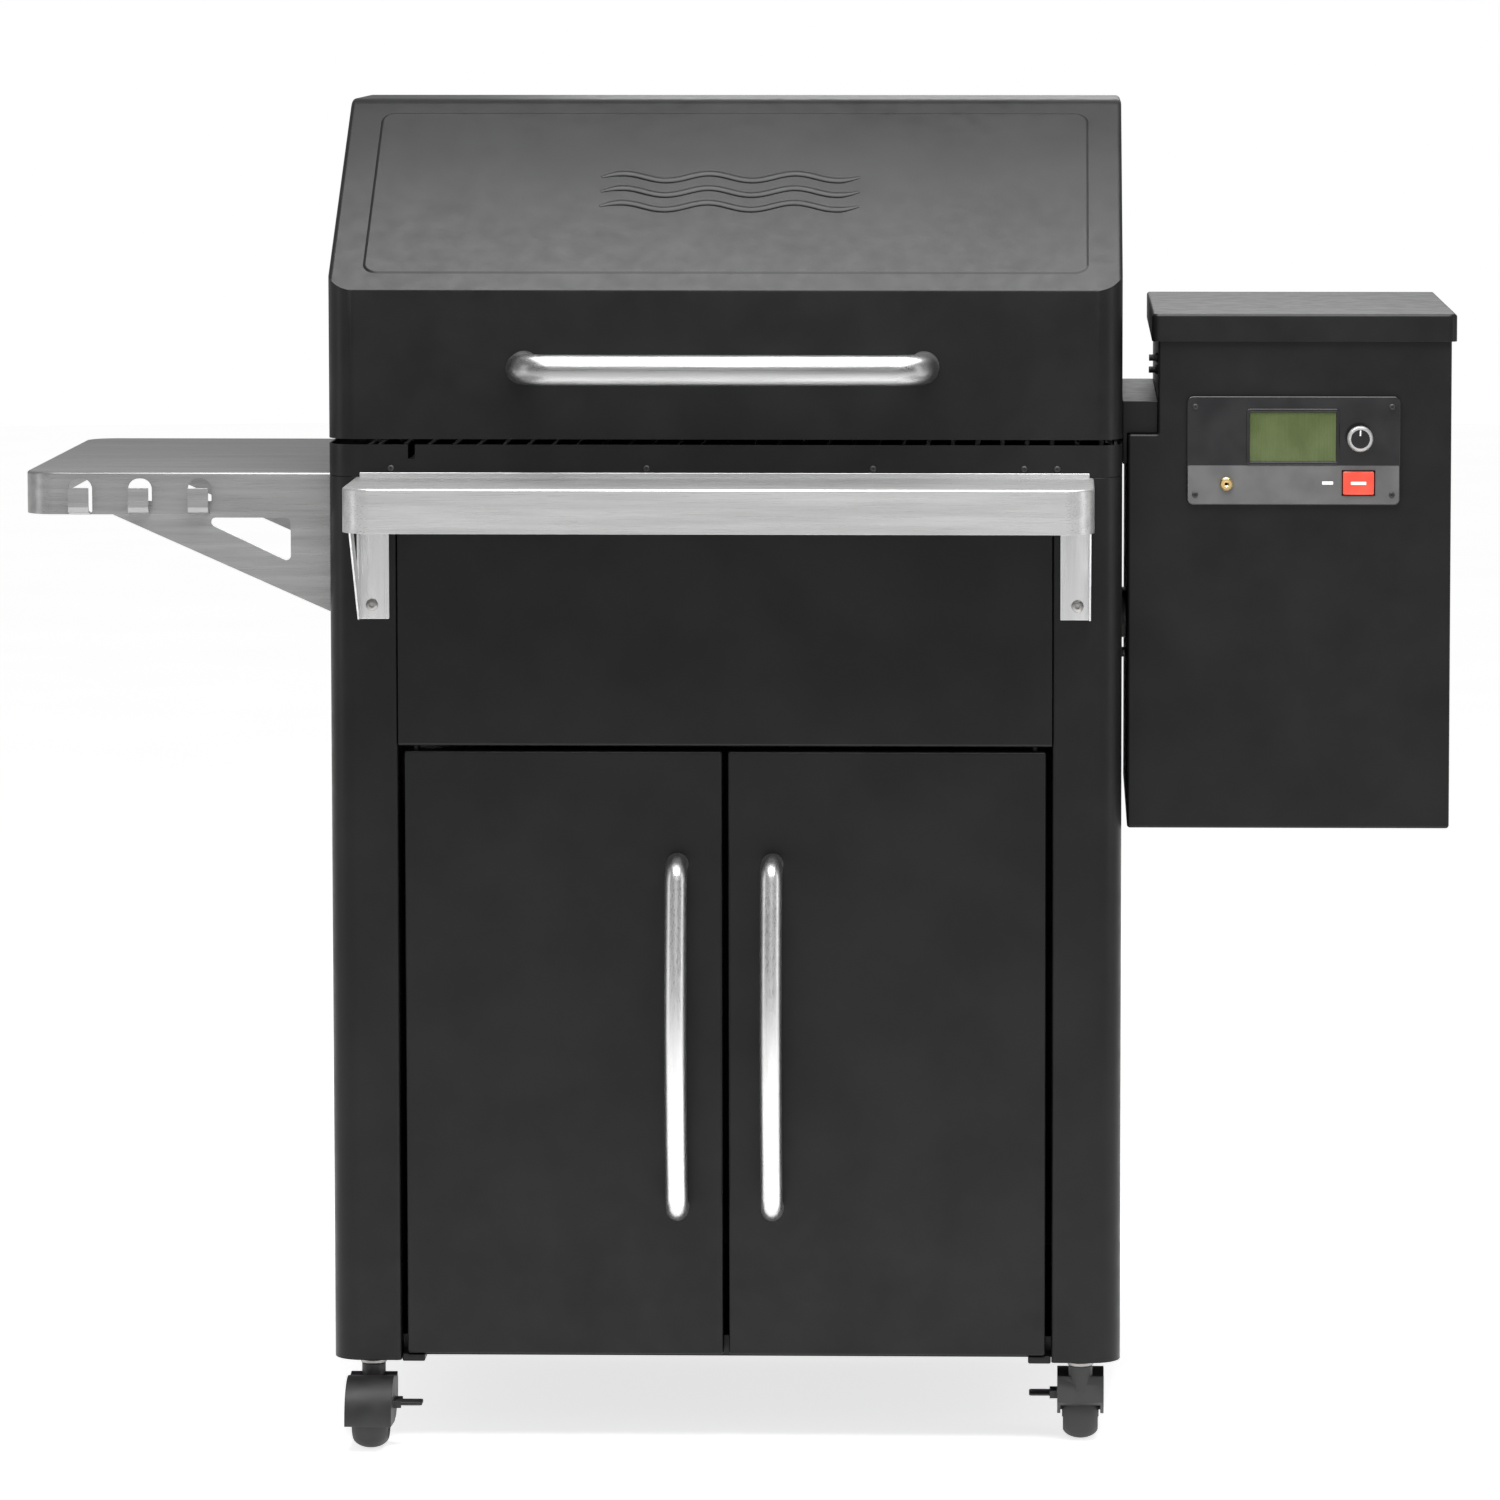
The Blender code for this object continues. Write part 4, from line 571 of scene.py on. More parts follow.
def front_fascia():
    """Panel above the doors with folded edges and the upper door pins."""
    low, high = span("front_fascia")
    path = [(FASCIA_FOLD, high.z), (0.0, high.z), (0.0, FASCIA_BOTTOM),
            (FASCIA_FOLD, FASCIA_BOTTOM)]
    path = rounded(path, [0, 0.003, 0.003, 0], 6, closed=False)
    sheet = shell(folded(path, "X", low.x, high.x), THIN_SHEET)
    pins = [rod_along("Z", low.z, UPPER_PIN_TOP, side * PIVOT_X, PIVOT_Y, PIN_R, 24)
            for side, _ in SIDES]
    renew("front_fascia", "_sheet", merged(sheet, *pins), COAT, bevel=0.0004)


def door_pivot_blocks():
    """Lower pivot blocks with their pins and a washer under each door."""
    top = PIVOT_BLOCK_TOP
    for side, word in SIDES:
        node = "door_pivot_" + word
        low, high = span(node)
        block = bevelled(box(low, (high.x, high.y, top)), 0.0015, 3)
        pin = rod_along("Z", top - 0.002, high.z, side * PIVOT_X, PIVOT_Y, PIN_R, 24)
        washer = rod_along("Z", top, top + 0.0006, side * PIVOT_X, PIVOT_Y, 0.0055)
        renew(node, "_block", merged(block, pin, washer), COAT, bevel=0.0002)


def doors():
    """Folded-edge doors, each with its bowed tube handle."""
    for side, word in SIDES:
        node = "door_" + word
        low, high = span(node)
        outline = rectangle(low.x, 0.0, high.x, high.y, (0.0025, 0.0025, 0, 0), 5)
        bm = bevelled(prism(outline, "Z", low.z, high.z), 0.0022, 4, lambda edge: is_level(edge)
                      and is_hard(edge) and all(v.co.y < high.y - 0.001 for v in edge.verts))
        remove_plane(bm, "Y", high.y)
        hole = rod_along("Z", low.z - PAST, high.z + PAST, side * PIVOT_X, PIVOT_Y,
                         PIN_R + 0.0005, 24)
        bm = boolean_result(shell(bm, THIN_SHEET), [hole])
        renew(node, "_sheet", bm, COAT, node, bevel=0.0003)
        door_handle(node)


def door_handle(door):
    """Round stainless tube, bowed outwards, whose ends turn in to the door."""
    node = door + "_handle"
    low, high = span(node)
    radius, x = (high.x - low.x) / 2, (low.x + high.x) / 2
    start, stop = low.z + radius, high.z - radius
    reach_middle = -low.y - radius
    reach_end = reach_middle - HANDLE_BOW
    steps = 24
    points = [(x, -JOINT_GAP, start)]
    for k in range(steps + 1):
        t = k / steps
        bow = reach_end + (reach_middle - reach_end) * math.sin(math.pi * t)
        points.append((x, -bow, start + (stop - start) * t))
    points.append((x, -JOINT_GAP, stop))
    path = smooth_path(points, [HANDLE_BEND] + [0.0] * (steps - 1) + [HANDLE_BEND])
    renew(node, "_tube", swept(path, radius, 28), STEEL_Z, door, smooth=50.0, bevel=0.0006)


def screw_head(place, facing, radius):
    """Button head with a hexagon socket, sunk a little into what it holds."""
    height, socket_r = radius * 0.55, radius * 0.42
    floor, sunk = height * 0.35, -0.0004
    dome = [(socket_r, height * 0.98)]
    steps = 6
    for k in range(steps + 1):
        angle = math.radians(90 * k / steps)
        dome.append((socket_r + (radius - socket_r) * math.sin(angle),
                     height * (0.30 + 0.68 * math.cos(angle))))
    bm = turned([(0.0, floor), (socket_r, floor), *dome, (radius, sunk), (0.0, sunk)], 24)
    turn = Vector((0.0, 0.0, 1.0)).rotation_difference(Vector(facing)).to_matrix().to_4x4()
    return placed(bm, place, turn)


def screws(name, places, facing, radius, material):
    """Equal screw heads as one piece on the cabinet."""
    heads = [screw_head(place, facing, radius) for place in places]
    finish_piece(name, merged(*heads), material)


def back_screws():
    """Screws that hold the back panel and the exhaust hood."""
    low, high = span("back_panel")
    rows, side_x, inset = 5, 0.330, 0.045
    places = [(x, high.y, low.z + inset + (high.z - low.z - 2 * inset) * k / (rows - 1))
              for k in range(rows) for x in (-side_x, side_x)]
    places += [(x, high.y, low.z + 0.020) for x in (-0.150, 0.0, 0.150)]
    screws("back_panel_screws", places, (0, 1, 0), 0.0048, DULL)
    low, high = span("rear_vent")
    places = [(x, high.y, (low.z + high.z) / 2) for x in (low.x + 0.018, high.x - 0.018)]
    screws("rear_vent_screws", places, (0, 1, 0), 0.0042, DULL)


# --------------------------------------------------------------- barrel and lid
TUB_WALL = (-0.352, 0.030, 0.352, 0.486)
TUB_BASE = (-0.100, 0.175, 0.100, 0.335)
TUB_WALL_END = 0.715
TUB_BOTTOM = 0.690
PROBE_SLOT = ((-0.2892, -0.010, 0.913), (-0.2828, 0.010, 0.940))
DRAIN_R = 0.0100
SPOUT_R = 0.0130
EXHAUST_X = (-0.190, -0.114, -0.038, 0.038, 0.114, 0.190)


def lofted(rings):
    """Open surface down through plan rings of equal point count, closed at the bottom."""
    bm = bmesh.new()
    loops = [[bm.verts.new((x, y, z)) for x, y in ring] for ring, z in rings]
    for upper, lower in zip(loops, loops[1:]):
        for i in range(len(upper)):
            j = (i + 1) % len(upper)
            bm.faces.new((upper[i], lower[i], lower[j], upper[j]))
    bm.faces.new(loops[-1][::-1])
    return bm


def barrel_tub():
    """Cooking chamber: the band that shows under the lid, and the deep tub in the cabinet."""
    low, high = span("barrel_tub")
    band_bottom = span("side_panel_left")[1].z + JOINT_GAP
    steps = 10
    band = rectangle(-HALF_WIDTH, 0.0, HALF_WIDTH, high.y, (CORNER_R, CORNER_R, 0.006, 0.006),
                     steps)
    wall, base = [rectangle(*sides, (0.015,) * 4, steps) for sides in (TUB_WALL, TUB_BASE)]
    bm = shell(lofted([(band, high.z), (band, band_bottom), (wall, band_bottom),
                       (wall, TUB_WALL_END), (base, TUB_BOTTOM)]), THIN_SHEET)
    bucket = middle("grease_bucket")
    drain = rod_along("Z", low.z - 0.02, 0.740, bucket.x, bucket.y, DRAIN_R)
    slots = [box((x - 0.030, 0.480, 0.822), (x + 0.030, 0.515, 0.842)) for x in EXHAUST_X]
    bm = boolean_result(bm, [box(*PROBE_SLOT), drain, merged(*slots), *wall_holes(0.330, 0.400)])
    spout_top = 0.716
    spout = turned([(DRAIN_R, spout_top), (SPOUT_R, spout_top), (SPOUT_R, low.z),
                    (DRAIN_R, low.z)], 32)
    bm = merged(bm, placed(spout, (bucket.x, bucket.y, 0.0)))
    renew("barrel_tub", "_body", bm, COAT, bevel=0.0004)
    places = [(x, 0.0, band_bottom + 0.0075) for x in (-0.305, -0.071, 0.136, 0.274, 0.304)]
    screws("band_screws", places, (0, -1, 0), 0.0030, PLASTIC)


LID_CREASE = 1.0670
LID_BREAK_Y = 0.2520
LID_BACK_BREAK = (0.4450, 1.0800)
LID_SECTION_RADII = (0, 0.0035, 0.0320, 0.0450, 0.0100, 0)
LID_EDGE_R = 0.0045
LID_HANDLE_BEND = 0.0300
PANEL_MARGINS = (0.0310, 0.0255, 0.0240)
PANEL_CORNER_R = 0.0140
PANEL_STEP = ((-0.0005, 0.0), (0.0, 0.0), (0.0004, 0.0009), (0.0010, 0.0018), (0.0013, 0.0030))
PANEL_RISE = PANEL_STEP[-1][0]
WAVE_HALF_LENGTH = 0.1200
WAVE_RISE = 0.0055
WAVE_PITCH = 0.0230
WAVE_COUNT = 3
WAVE_R = 0.0042
WAVE_FLATNESS = 0.45


def lid_section(bottom, depth):
    """Side view of the hood, moved inwards by a depth; its corner radii shrink with it."""
    low, high = span("lid")
    points = [Vector(corner) for corner in
              ((low.y, bottom), (low.y, LID_CREASE), (LID_BREAK_Y, high.z),
               (LID_BACK_BREAK[0], high.z), (high.y, LID_BACK_BREAK[1]), (high.y, bottom))]
    runs = [(after - before).normalized() for before, after in zip(points, points[1:])]
    inward = [Vector((run.y, -run.x)) for run in runs]
    moved = [points[0] + inward[0] * depth]
    for corner, one, other in zip(points[1:], inward, inward[1:]):
        moved.append(corner + (one + other) / (1.0 + one.dot(other)) * depth)
    moved.append(points[-1] + inward[-1] * depth)
    smallest = 0.0010
    radii = [max(radius - depth, smallest) for radius in LID_SECTION_RADII]
    return rounded([tuple(point) for point in moved], radii, 10, closed=False)


def lid_plan(inset):
    """Upright block that gives the hood its rounded front corners."""
    low, high = span("lid")
    corner, reach = CORNER_R - inset, 0.020
    outline = rectangle(low.x + inset, low.y + inset, high.x - inset, high.y + reach,
                        (corner, corner, 0, 0), 16)
    return prism(outline, "Z", low.z - reach, high.z + reach)


def lid_blank():
    """Closed solid of the hood with softly rounded side edges."""
    low, high = span("lid")
    turns = 6
    angles = [math.radians(90.0 * k / turns) for k in range(turns + 1)]
    stations = [(high.x - LID_EDGE_R * (1.0 - math.sin(a)), LID_EDGE_R * (1.0 - math.cos(a)))
                for a in angles]
    stations = stations[::-1] + [(-x, depth) for x, depth in stations]
    return skin([[(x, y, z) for y, z in lid_section(low.z, depth)] for x, depth in stations])


def lid_hood():
    """Deep hood with an upright front and a slanted face, open underneath."""
    low, high = span("lid")
    hood = boolean_result(lid_blank(), [lid_plan(0.0)], "INTERSECT")
    inside = high.x - SHEET
    hollow = prism(lid_section(low.z - PAST, SHEET), "X", -inside, inside)
    hollow = boolean_result(hollow, [lid_plan(SHEET)], "INTERSECT")
    renew("lid", "_hood", boolean_result(hood, [hollow]), COAT, "lid")
    axes = slant_frame(high.z)
    lid_raised_panel(axes)
    lid_heat_waves(axes)


def slant_frame(lid_top):
    """Start of the slanted face at the crease, its up direction, its normal and its length."""
    start = Vector((0.0, 0.0, LID_CREASE))
    run = Vector((0.0, LID_BREAK_Y, lid_top)) - start
    up = run.normalized()
    return start, up, Vector((0.0, -up.z, up.y)), run.length


def on_slant(axes, x, along, lift=0.0):
    start, up, normal, _ = axes
    return start + Vector((x, 0.0, 0.0)) + up * along + normal * lift


def lid_raised_panel(axes):
    """Raised flat panel on the slanted face, with a soft step round it."""
    side, low, top = PANEL_MARGINS
    rings = []
    for lift, inset in PANEL_STEP:
        outline = rectangle(side - HALF_WIDTH + inset, low + inset, HALF_WIDTH - side - inset,
                            axes[3] - top - inset, (PANEL_CORNER_R - inset,) * 4, 10)
        rings.append([on_slant(axes, u, v, lift) for u, v in outline])
    finish_piece("lid_raised_panel", skin(rings), COAT, "lid", smooth=60.0)


def pressed_bar(points, radii, axes):
    """Round bar along the slanted face, squashed to a low ridge on the raised panel."""
    bar = swept(points, radii, 12)
    start, _, normal, _ = axes
    for vert in bar.verts:
        height = (vert.co - start).dot(normal)
        vert.co += normal * (PANEL_RISE - height * (1.0 - WAVE_FLATNESS))
    return bar


def lid_heat_waves(axes):
    """Three plain heat waves pressed into the raised panel."""
    steps = 72
    waves = []
    for row in (-1, 0, 1):
        points, radii = [], []
        for k in range(steps + 1):
            t = k / steps
            along = axes[3] * 0.5 + row * WAVE_PITCH
            along += WAVE_RISE * math.sin(2 * math.pi * WAVE_COUNT * t)
            points.append(on_slant(axes, WAVE_HALF_LENGTH * (2 * t - 1), along))
            radii.append(WAVE_R * min(1.0, 0.35 + 3.0 * math.sin(math.pi * t)))
        waves.append(pressed_bar(points, radii, axes))
    finish_piece("lid_heat_waves", merged(*waves), COAT, "lid", smooth=60.0)


def lid_handle():
    """Straight stainless tube whose two ends bend in to the lid's front."""
    low, high = span("lid_handle")
    radius = (high.z - low.z) / 2
    z, end, out = (low.z + high.z) / 2, high.x - radius, -low.y - radius
    corners = [(-end, -JOINT_GAP, z), (-end, -out, z), (end, -out, z), (end, -JOINT_GAP, z)]
    path = smooth_path(corners, [LID_HANDLE_BEND] * 2, 12)
    renew("lid_handle", "_tube", swept(path, radius, 36), STEEL_TUBE_PAINTED_SHADE, "lid", smooth=50.0,
          bevel=0.0008)


def rod_grid(low, high, rods, rod_r, frame_r, cross):
    """Rounded wire frame filled with rods along Y and a few cross rods under them."""
    z, edge = (low.z + high.z) / 2, 0.012
    outline = rectangle(low.x + frame_r, low.y + frame_r, high.x - frame_r, high.y - frame_r,
                        (0.020, 0.020, 0.006, 0.006))
    outline.append(outline[0])
    parts = [swept([(x, y, z) for x, y in outline], frame_r, 12)]
    for k in range(rods):
        x = low.x + edge + (high.x - low.x - 2 * edge) * k / (rods - 1)
        parts.append(rod_along("Y", low.y + frame_r, high.y - frame_r, x, z, rod_r, 12))
    for k in range(cross):
        y = low.y + (high.y - low.y) * (k + 1) / (cross + 1)
        parts.append(rod_along("X", low.x + frame_r, high.x - frame_r, y, z - rod_r * 0.4,
                               rod_r * 0.6, 12))
    return merged(*parts)


def inside_barrel():
    """Welded-rod grate and rack, the fire pot and the igniter."""
    low, high = span("grill_grate")
    grate = rod_grid(low, high, rods=30, rod_r=0.0026, frame_r=0.0030, cross=3)
    renew("grill_grate", "_rods", grate, ENAMEL, smooth=60.0)
    low, high = span("upper_rack")
    inset = 0.005
    legs = [rod_along("Z", low.z, high.z - 0.002, x, y, 0.0028, 16)
            for x in (low.x + inset, high.x - inset) for y in (low.y + inset, high.y - inset)]
    top_low = Vector((low.x, low.y, high.z - 0.004))
    rack = rod_grid(top_low, high, rods=26, rod_r=0.0016, frame_r=0.0020, cross=1)
    renew("upper_rack", "_rods", merged(rack, *legs), DULL, smooth=60.0)
    fire_pot()
    low, high = span("igniter_rod")
    centre = (low + high) / 2
    path = [(low.x, centre.y, centre.z), (high.x, centre.y, centre.z)]
    renew("igniter_rod", "_body", swept(path, (high.z - low.z) / 2), DULL, smooth=50.0,
          bevel=0.0008)


def fire_pot():
    """Open steel cup with air holes round it and the feed hole in its side."""
    low, high = span("fire_pot")
    centre = (low + high) / 2
    outer, wall, soft, turn = (high.x - low.x) / 2, 0.003, 0.001, 0.002
    inner = outer - wall
    rim = [(inner, high.z - soft), (inner + soft, high.z), (outer - soft, high.z),
           (outer, high.z - soft)]
    profile = [(0.0, low.z + wall), (inner - turn, low.z + wall), (inner, low.z + wall + turn),
               *rim, (outer, low.z + turn), (outer - turn, low.z), (0.0, low.z)]
    cup = placed(turned(profile, 64), (centre.x, centre.y, 0.0))
    count = 10
    start = Vector((centre.x, centre.y, centre.z + 0.012))
    holes = []
    for k in range(count):
        angle = math.pi * (k + 0.5) / count
        along = Vector((math.cos(angle), math.sin(angle), 0.0)) * (outer + PAST)
        holes.append(rod(start - along, start + along, 0.0028, 16))
    cup = boolean_result(cup, [merged(*holes), *wall_holes(0.030, 0.400)[:2]])
    renew("fire_pot", "_cup", cup, DULL)


def grease_bucket():
    """Bucket with a rolled rim and a wire bail."""
    low, high = span("grease_bucket")
    centre = (low + high) / 2
    rim_r, base_r, wall, roll, soft = (high.x - low.x) / 2, 0.0500, 0.0012, 0.0016, 0.0015
    curl = [(rim_r - roll + roll * math.cos(a), high.z - roll + roll * math.sin(a))
            for a in (math.radians(180 - 30 * k) for k in range(13))]
    profile = [(0.0, low.z + wall), (base_r - wall, low.z + wall), *curl,
               (base_r, low.z + soft), (base_r - soft, low.z), (0.0, low.z)]
    bucket = placed(turned(profile, 64), (centre.x, centre.y, 0.0))
    bail_r, drop, steps = rim_r + 0.0025, 0.018, 24
    angles = [math.pi * k / steps for k in range(steps + 1)]
    bail = [(centre.x + bail_r * math.sin(a), centre.y - bail_r * math.cos(a),
             high.z - 0.006 - drop * math.sin(a)) for a in angles]
    renew("grease_bucket", "_body", merged(bucket, swept(bail, 0.0013, 10)), DULL, smooth=50.0)


# --------------------------------------------------------------------- shelves
SHELF_EDGE_R = 0.0025
BRACKET_WINDOW = ((-0.016, 0.800), (-0.016, 0.874), (-0.088, 0.874))
APRON_DROP = 0.0391
HOOK_REACH = 0.0150
HOOK_HALF = 0.0095
HOOK_HOLE_HALF = 0.0110
HOOK_HOLE_Z = (0.8590, 0.8907)
GUSSET_TIP = (-0.567, 0.8574)
GUSSET_TOP = 0.8700
GUSSET_WINDOW = ((-0.4896, 0.8546), (-0.4025, 0.8132), (-0.4025, 0.8546))


def front_shelf():
    """Stainless tray turned over, with a low upstand at the back."""
    low, high = span("front_shelf")
    outline = rectangle(low.x, low.y, high.x, high.y, (0.0270, 0.0270, 0, 0), 12)
    bm = round_top(prism(outline, "Z", low.z, high.z), SHELF_EDGE_R, high.z)
    remove_plane(bm, "Z", low.z)
    remove_plane(bm, "Y", high.y)
    rise = 0.0040
    upstand = box((low.x + 0.004, high.y - THIN_SHEET, high.z - 0.0010),
                  (high.x - 0.004, high.y, high.z + rise))
    tray = merged(shell(bm, THIN_SHEET), bevelled(upstand, 0.0006, 3))
    renew("front_shelf", "_tray", tray, STEEL_X, bevel=0.0003)
    for side, word in SIDES:
        shelf_bracket(side, word)


def shelf_bracket(side, word):
    """Folded bracket under the front shelf, bolted to the column."""
    node = "shelf_bracket_" + word
    low, high = span(node)
    inner, outer = sorted((abs(low.x), abs(high.x)))
    outline = [(high.y, low.z), (high.y, high.z), (low.y, high.z), (low.y, high.z - 0.014),
               (-0.012, low.z)]
    outline = rounded(outline, [0, 0, 0.001, 0.004, 0.003], 4)
    gusset = prism(outline, "X", side * (outer - SHEET), side * outer)
    window = prism(rounded(BRACKET_WINDOW, [0.003] * 3), "X", side * (outer - PAST),
                   side * (outer + PAST))
    flange = box((min(side * inner, side * outer), high.y - SHEET, low.z + TINY),
                 (max(side * inner, side * outer), high.y, 0.880))
    plate = merged(boolean_result(gusset, [window]), bevelled(flange, 0.0006, 2))
    renew(node, "_plate", plate, STEEL_Z, bevel=0.0003)
    places = [(side * (inner + 0.0157), high.y - SHEET, z) for z in (low.z + 0.013, 0.862)]
    screws("shelf_bracket_bolts_" + word, places, (0, -1, 0), 0.0056, DULL)


def side_shelf():
    """Stainless side shelf: apron with three punched tool hooks, and a gusset at each end."""
    low, high = span("side_shelf")
    front = low.y + HOOK_REACH
    gussets = [shelf_gusset(y, high.x, low.z) for y in (front + TINY, high.y - 0.0013)]
    parts = [shelf_tray(low, high, front), *gussets, *tool_hooks(front)]
    renew("side_shelf", "_tray", merged(*parts), STEEL_SHELF_PAINTED_SHADE, bevel=0.0003)
    places = [(high.x - 0.0040, y, z) for y in (front + 0.030, high.y - 0.030)
              for z in (0.868, 0.882)]
    screws("side_shelf_bolts", places, (-1, 0, 0), 0.0050, DULL)


def shelf_tray(low, high, front):
    """Top and apron of the side shelf, with a punched hole behind each hook."""
    end_r, bottom = 0.028, high.z - APRON_DROP
    outline = rectangle(low.x, front, high.x, high.y, (end_r, 0, 0, end_r), 12)
    bm = round_top(prism(outline, "Z", bottom, high.z), SHELF_EDGE_R, high.z)
    remove_plane(bm, "Z", bottom)
    remove_plane(bm, "X", high.x)
    holes = [prism(rectangle(x - HOOK_HOLE_HALF, HOOK_HOLE_Z[0], x + HOOK_HOLE_HALF,
                             HOOK_HOLE_Z[1], (0.002, 0.002, 0.010, 0.010), 8),
                   "Y", front - PAST, front + PAST) for x in hook_places()]
    return boolean_result(shell(bm, THIN_SHEET), [merged(*holes)])


def shelf_gusset(y, inner, bottom):
    """Upright plate under the side shelf with a triangular window."""
    outline = rounded([(GUSSET_TIP[0], GUSSET_TOP), GUSSET_TIP, (inner, bottom),
                       (inner, GUSSET_TOP)], [0, 0.003, 0.002, 0], 4)
    window = rounded(GUSSET_WINDOW, [0.004] * 3)
    return boolean_result(prism(outline, "Y", y, y + 0.0012),
                          [prism(window, "Y", y - PAST, y + PAST)])


def tool_hooks(front):
    """Tongues bent out of the apron and up."""
    root, tip = front + 0.0012, front - HOOK_REACH
    side_view = [(root, 0.8570), (tip + 0.002, 0.8600), (tip, 0.8650), (tip, 0.8830),
                 (tip + 0.002, 0.8830), (tip + 0.002, 0.8660), (front - 0.0115, 0.8620),
                 (root, 0.8595)]
    side_view = rounded(side_view, [0, 0.003, 0.003, 0.0008, 0.0008, 0.002, 0.002, 0], 4)
    return [prism(side_view, "X", x - HOOK_HALF, x + HOOK_HALF) for x in hook_places()]


def hook_places():
    """X of the three hooks, worked out from the record's openings behind them."""
    boxes = [item["box_m"] for item in frame["record"]["physics"]["openings"]
             if item["name"].startswith("tool_hook")]
    return [(a[0] + b[0]) / 2 - CABINET_X for a, b in boxes]


# ---------------------------------------------------------------------- hopper
HINGE_Y = 0.4700
HINGE_Z = 1.0300
HINGE_PIN_X = (0.4400, 0.6220)
BOX_KNUCKLES = ((0.4300, 0.4500), (0.6120, 0.6320))
LID_KNUCKLES = ((0.4505, 0.4700), (0.5920, 0.6115))
KNUCKLE_R = 0.0045
LID_BACK_Y = 0.4645
LID_LAP = 0.0060        # how far the hopper's lid stands over its wall


def hopper():
    """Stepped pellet box beside the barrel, with its hinge knuckles and lid."""
    back = span("hopper_connector")[1].y + 0.060
    parts = [hopper_box(back)]
    for a, b in BOX_KNUCKLES:
        parts.append(rod_along("X", a, b, HINGE_Y, HINGE_Z, KNUCKLE_R))
        parts.append(box((a, back - 0.001, 1.0262), (b, HINGE_Y, 1.0330)))
    parts.append(rod_along("X", *HINGE_PIN_X, HINGE_Y, HINGE_Z, 0.0020, 24))
    renew("hopper_box", "_body", merged(*parts), COAT, bevel=0.0004)
    hopper_lid()
    hopper_studs()


def hopper_box(back):
    """Open-topped sheet box with windows for the controller, the inlet and the feed."""
    low, high = span("hopper_box")
    wall = span("hopper_lid")[0].x + LID_LAP
    step = span("hopper_connector")[0].z + 0.028
    corners = [(low.x, low.z), (high.x, low.z), (high.x, high.z), (wall, high.z), (wall, step),
               (low.x, step)]
    bm = prism(rounded(corners, [0.003, 0.003, 0, 0, 0.002, 0.003]), "Y", low.y, back)
    remove_plane(bm, "Z", high.z)
    bevelled(bm, 0.0025, 4, lambda edge: is_hard(edge, 0.3)
             and all(v.co.y < low.y + TINY for v in edge.verts))
    window = box_through(*span("controller_panel"), -0.009, low.y - PAST, low.y + PAST)
    inlet = box_through(*span("power_inlet"), JOINT_GAP, back - PAST, back + PAST)
    return boolean_result(shell(bm, THIN_SHEET), [window, inlet, *wall_holes(0.330, 0.400)])


def hopper_lid():
    """Pressed lid with rounded corners and hinge barrels."""
    low, high = span("hopper_lid")
    outline = rectangle(low.x, low.y, high.x, LID_BACK_Y, (0.0080, 0.0080, 0, 0), 8)
    bm = round_top(prism(outline, "Z", low.z, high.z), 0.0030, high.z)
    remove_plane(bm, "Z", low.z)
    remove_plane(bm, "Y", LID_BACK_Y)
    parts = [shell(bm, THIN_SHEET)]
    for a, b in LID_KNUCKLES:
        barrel = rod_along("X", a, b, HINGE_Y, HINGE_Z, KNUCKLE_R)
        bore = rod_along("X", a - PAST, b + PAST, HINGE_Y, HINGE_Z, 0.0025, 24)
        parts.append(boolean_result(barrel, [bore]))
        parts.append(box((a, 0.4625, 1.0335), (b, HINGE_Y, 1.0425)))
    renew("hopper_lid", "_cover", merged(*parts), COAT, "hopper_lid", bevel=0.0004)


def hopper_studs():
    """Two small studs that stand out of the hopper's side towards the lid."""
    wall, front = span("hopper_lid")[0].x + LID_LAP, span("hopper_box")[0].y
    studs = []
    for y, z in ((front + 0.060, 1.000), (front + 0.075, 0.988)):
        studs.append(rod_along("X", wall + 0.0005, wall - 0.0080, y, z, 0.0030, 24))
        studs.append(rod_along("X", wall + 0.0002, wall - 0.0016, y, z, 0.0045, 24))
    finish_piece("hopper_studs", merged(*studs), PLASTIC, bevel=0.0004)


def auger_screw():
    """Shaft with a helical flight in the feed tube."""
    low, high = span("auger_screw")
    centre = (low + high) / 2
    outer, shaft_r, thick = (high.z - low.z) / 2, 0.0055, 0.0009
    turns, per_turn, start_gap, both_gaps = 15, 24, 0.004, 0.012
    root = shaft_r - 0.001
    steps = turns * per_turn
    rings = []
    for k in range(steps + 1):
        angle = 2 * math.pi * k / per_turn
        x = low.x + start_gap + (high.x - low.x - both_gaps) * k / steps
        out = Vector((0.0, math.cos(angle), math.sin(angle)))
        rings.append([Vector((x + dx, centre.y, centre.z)) + out * r for r, dx in
                      ((root, -thick), (outer, -thick), (outer, thick), (root, thick))])
    shaft = rod_along("X", low.x, high.x, centre.y, centre.z, shaft_r)
    renew("auger_screw", "_flight", merged(skin(rings), shaft), DULL, "auger")


def inlet_blades():
    """Three contact blades in the power inlet's well."""
    _, high = span("power_inlet")
    centre = middle("power_inlet")
    half_x, half_z = 0.0010, 0.0022
    blades = []
    for x, z in ((-0.007, -0.001), (0.007, -0.001), (0.0, 0.004)):
        blade = box((centre.x + x - half_x, high.y - 0.0150, centre.z + z - half_z),
                    (centre.x + x + half_x, high.y - 0.0025, centre.z + z + half_z))
        blades.append(bevelled(blade, 0.0003, 2))
    finish_piece("power_inlet_blades", merged(*blades), BRASS)


# ------------------------------------------------------------------ controller
STRIP_HEIGHT = 0.0365
MARK_HALF_Z = 0.0014


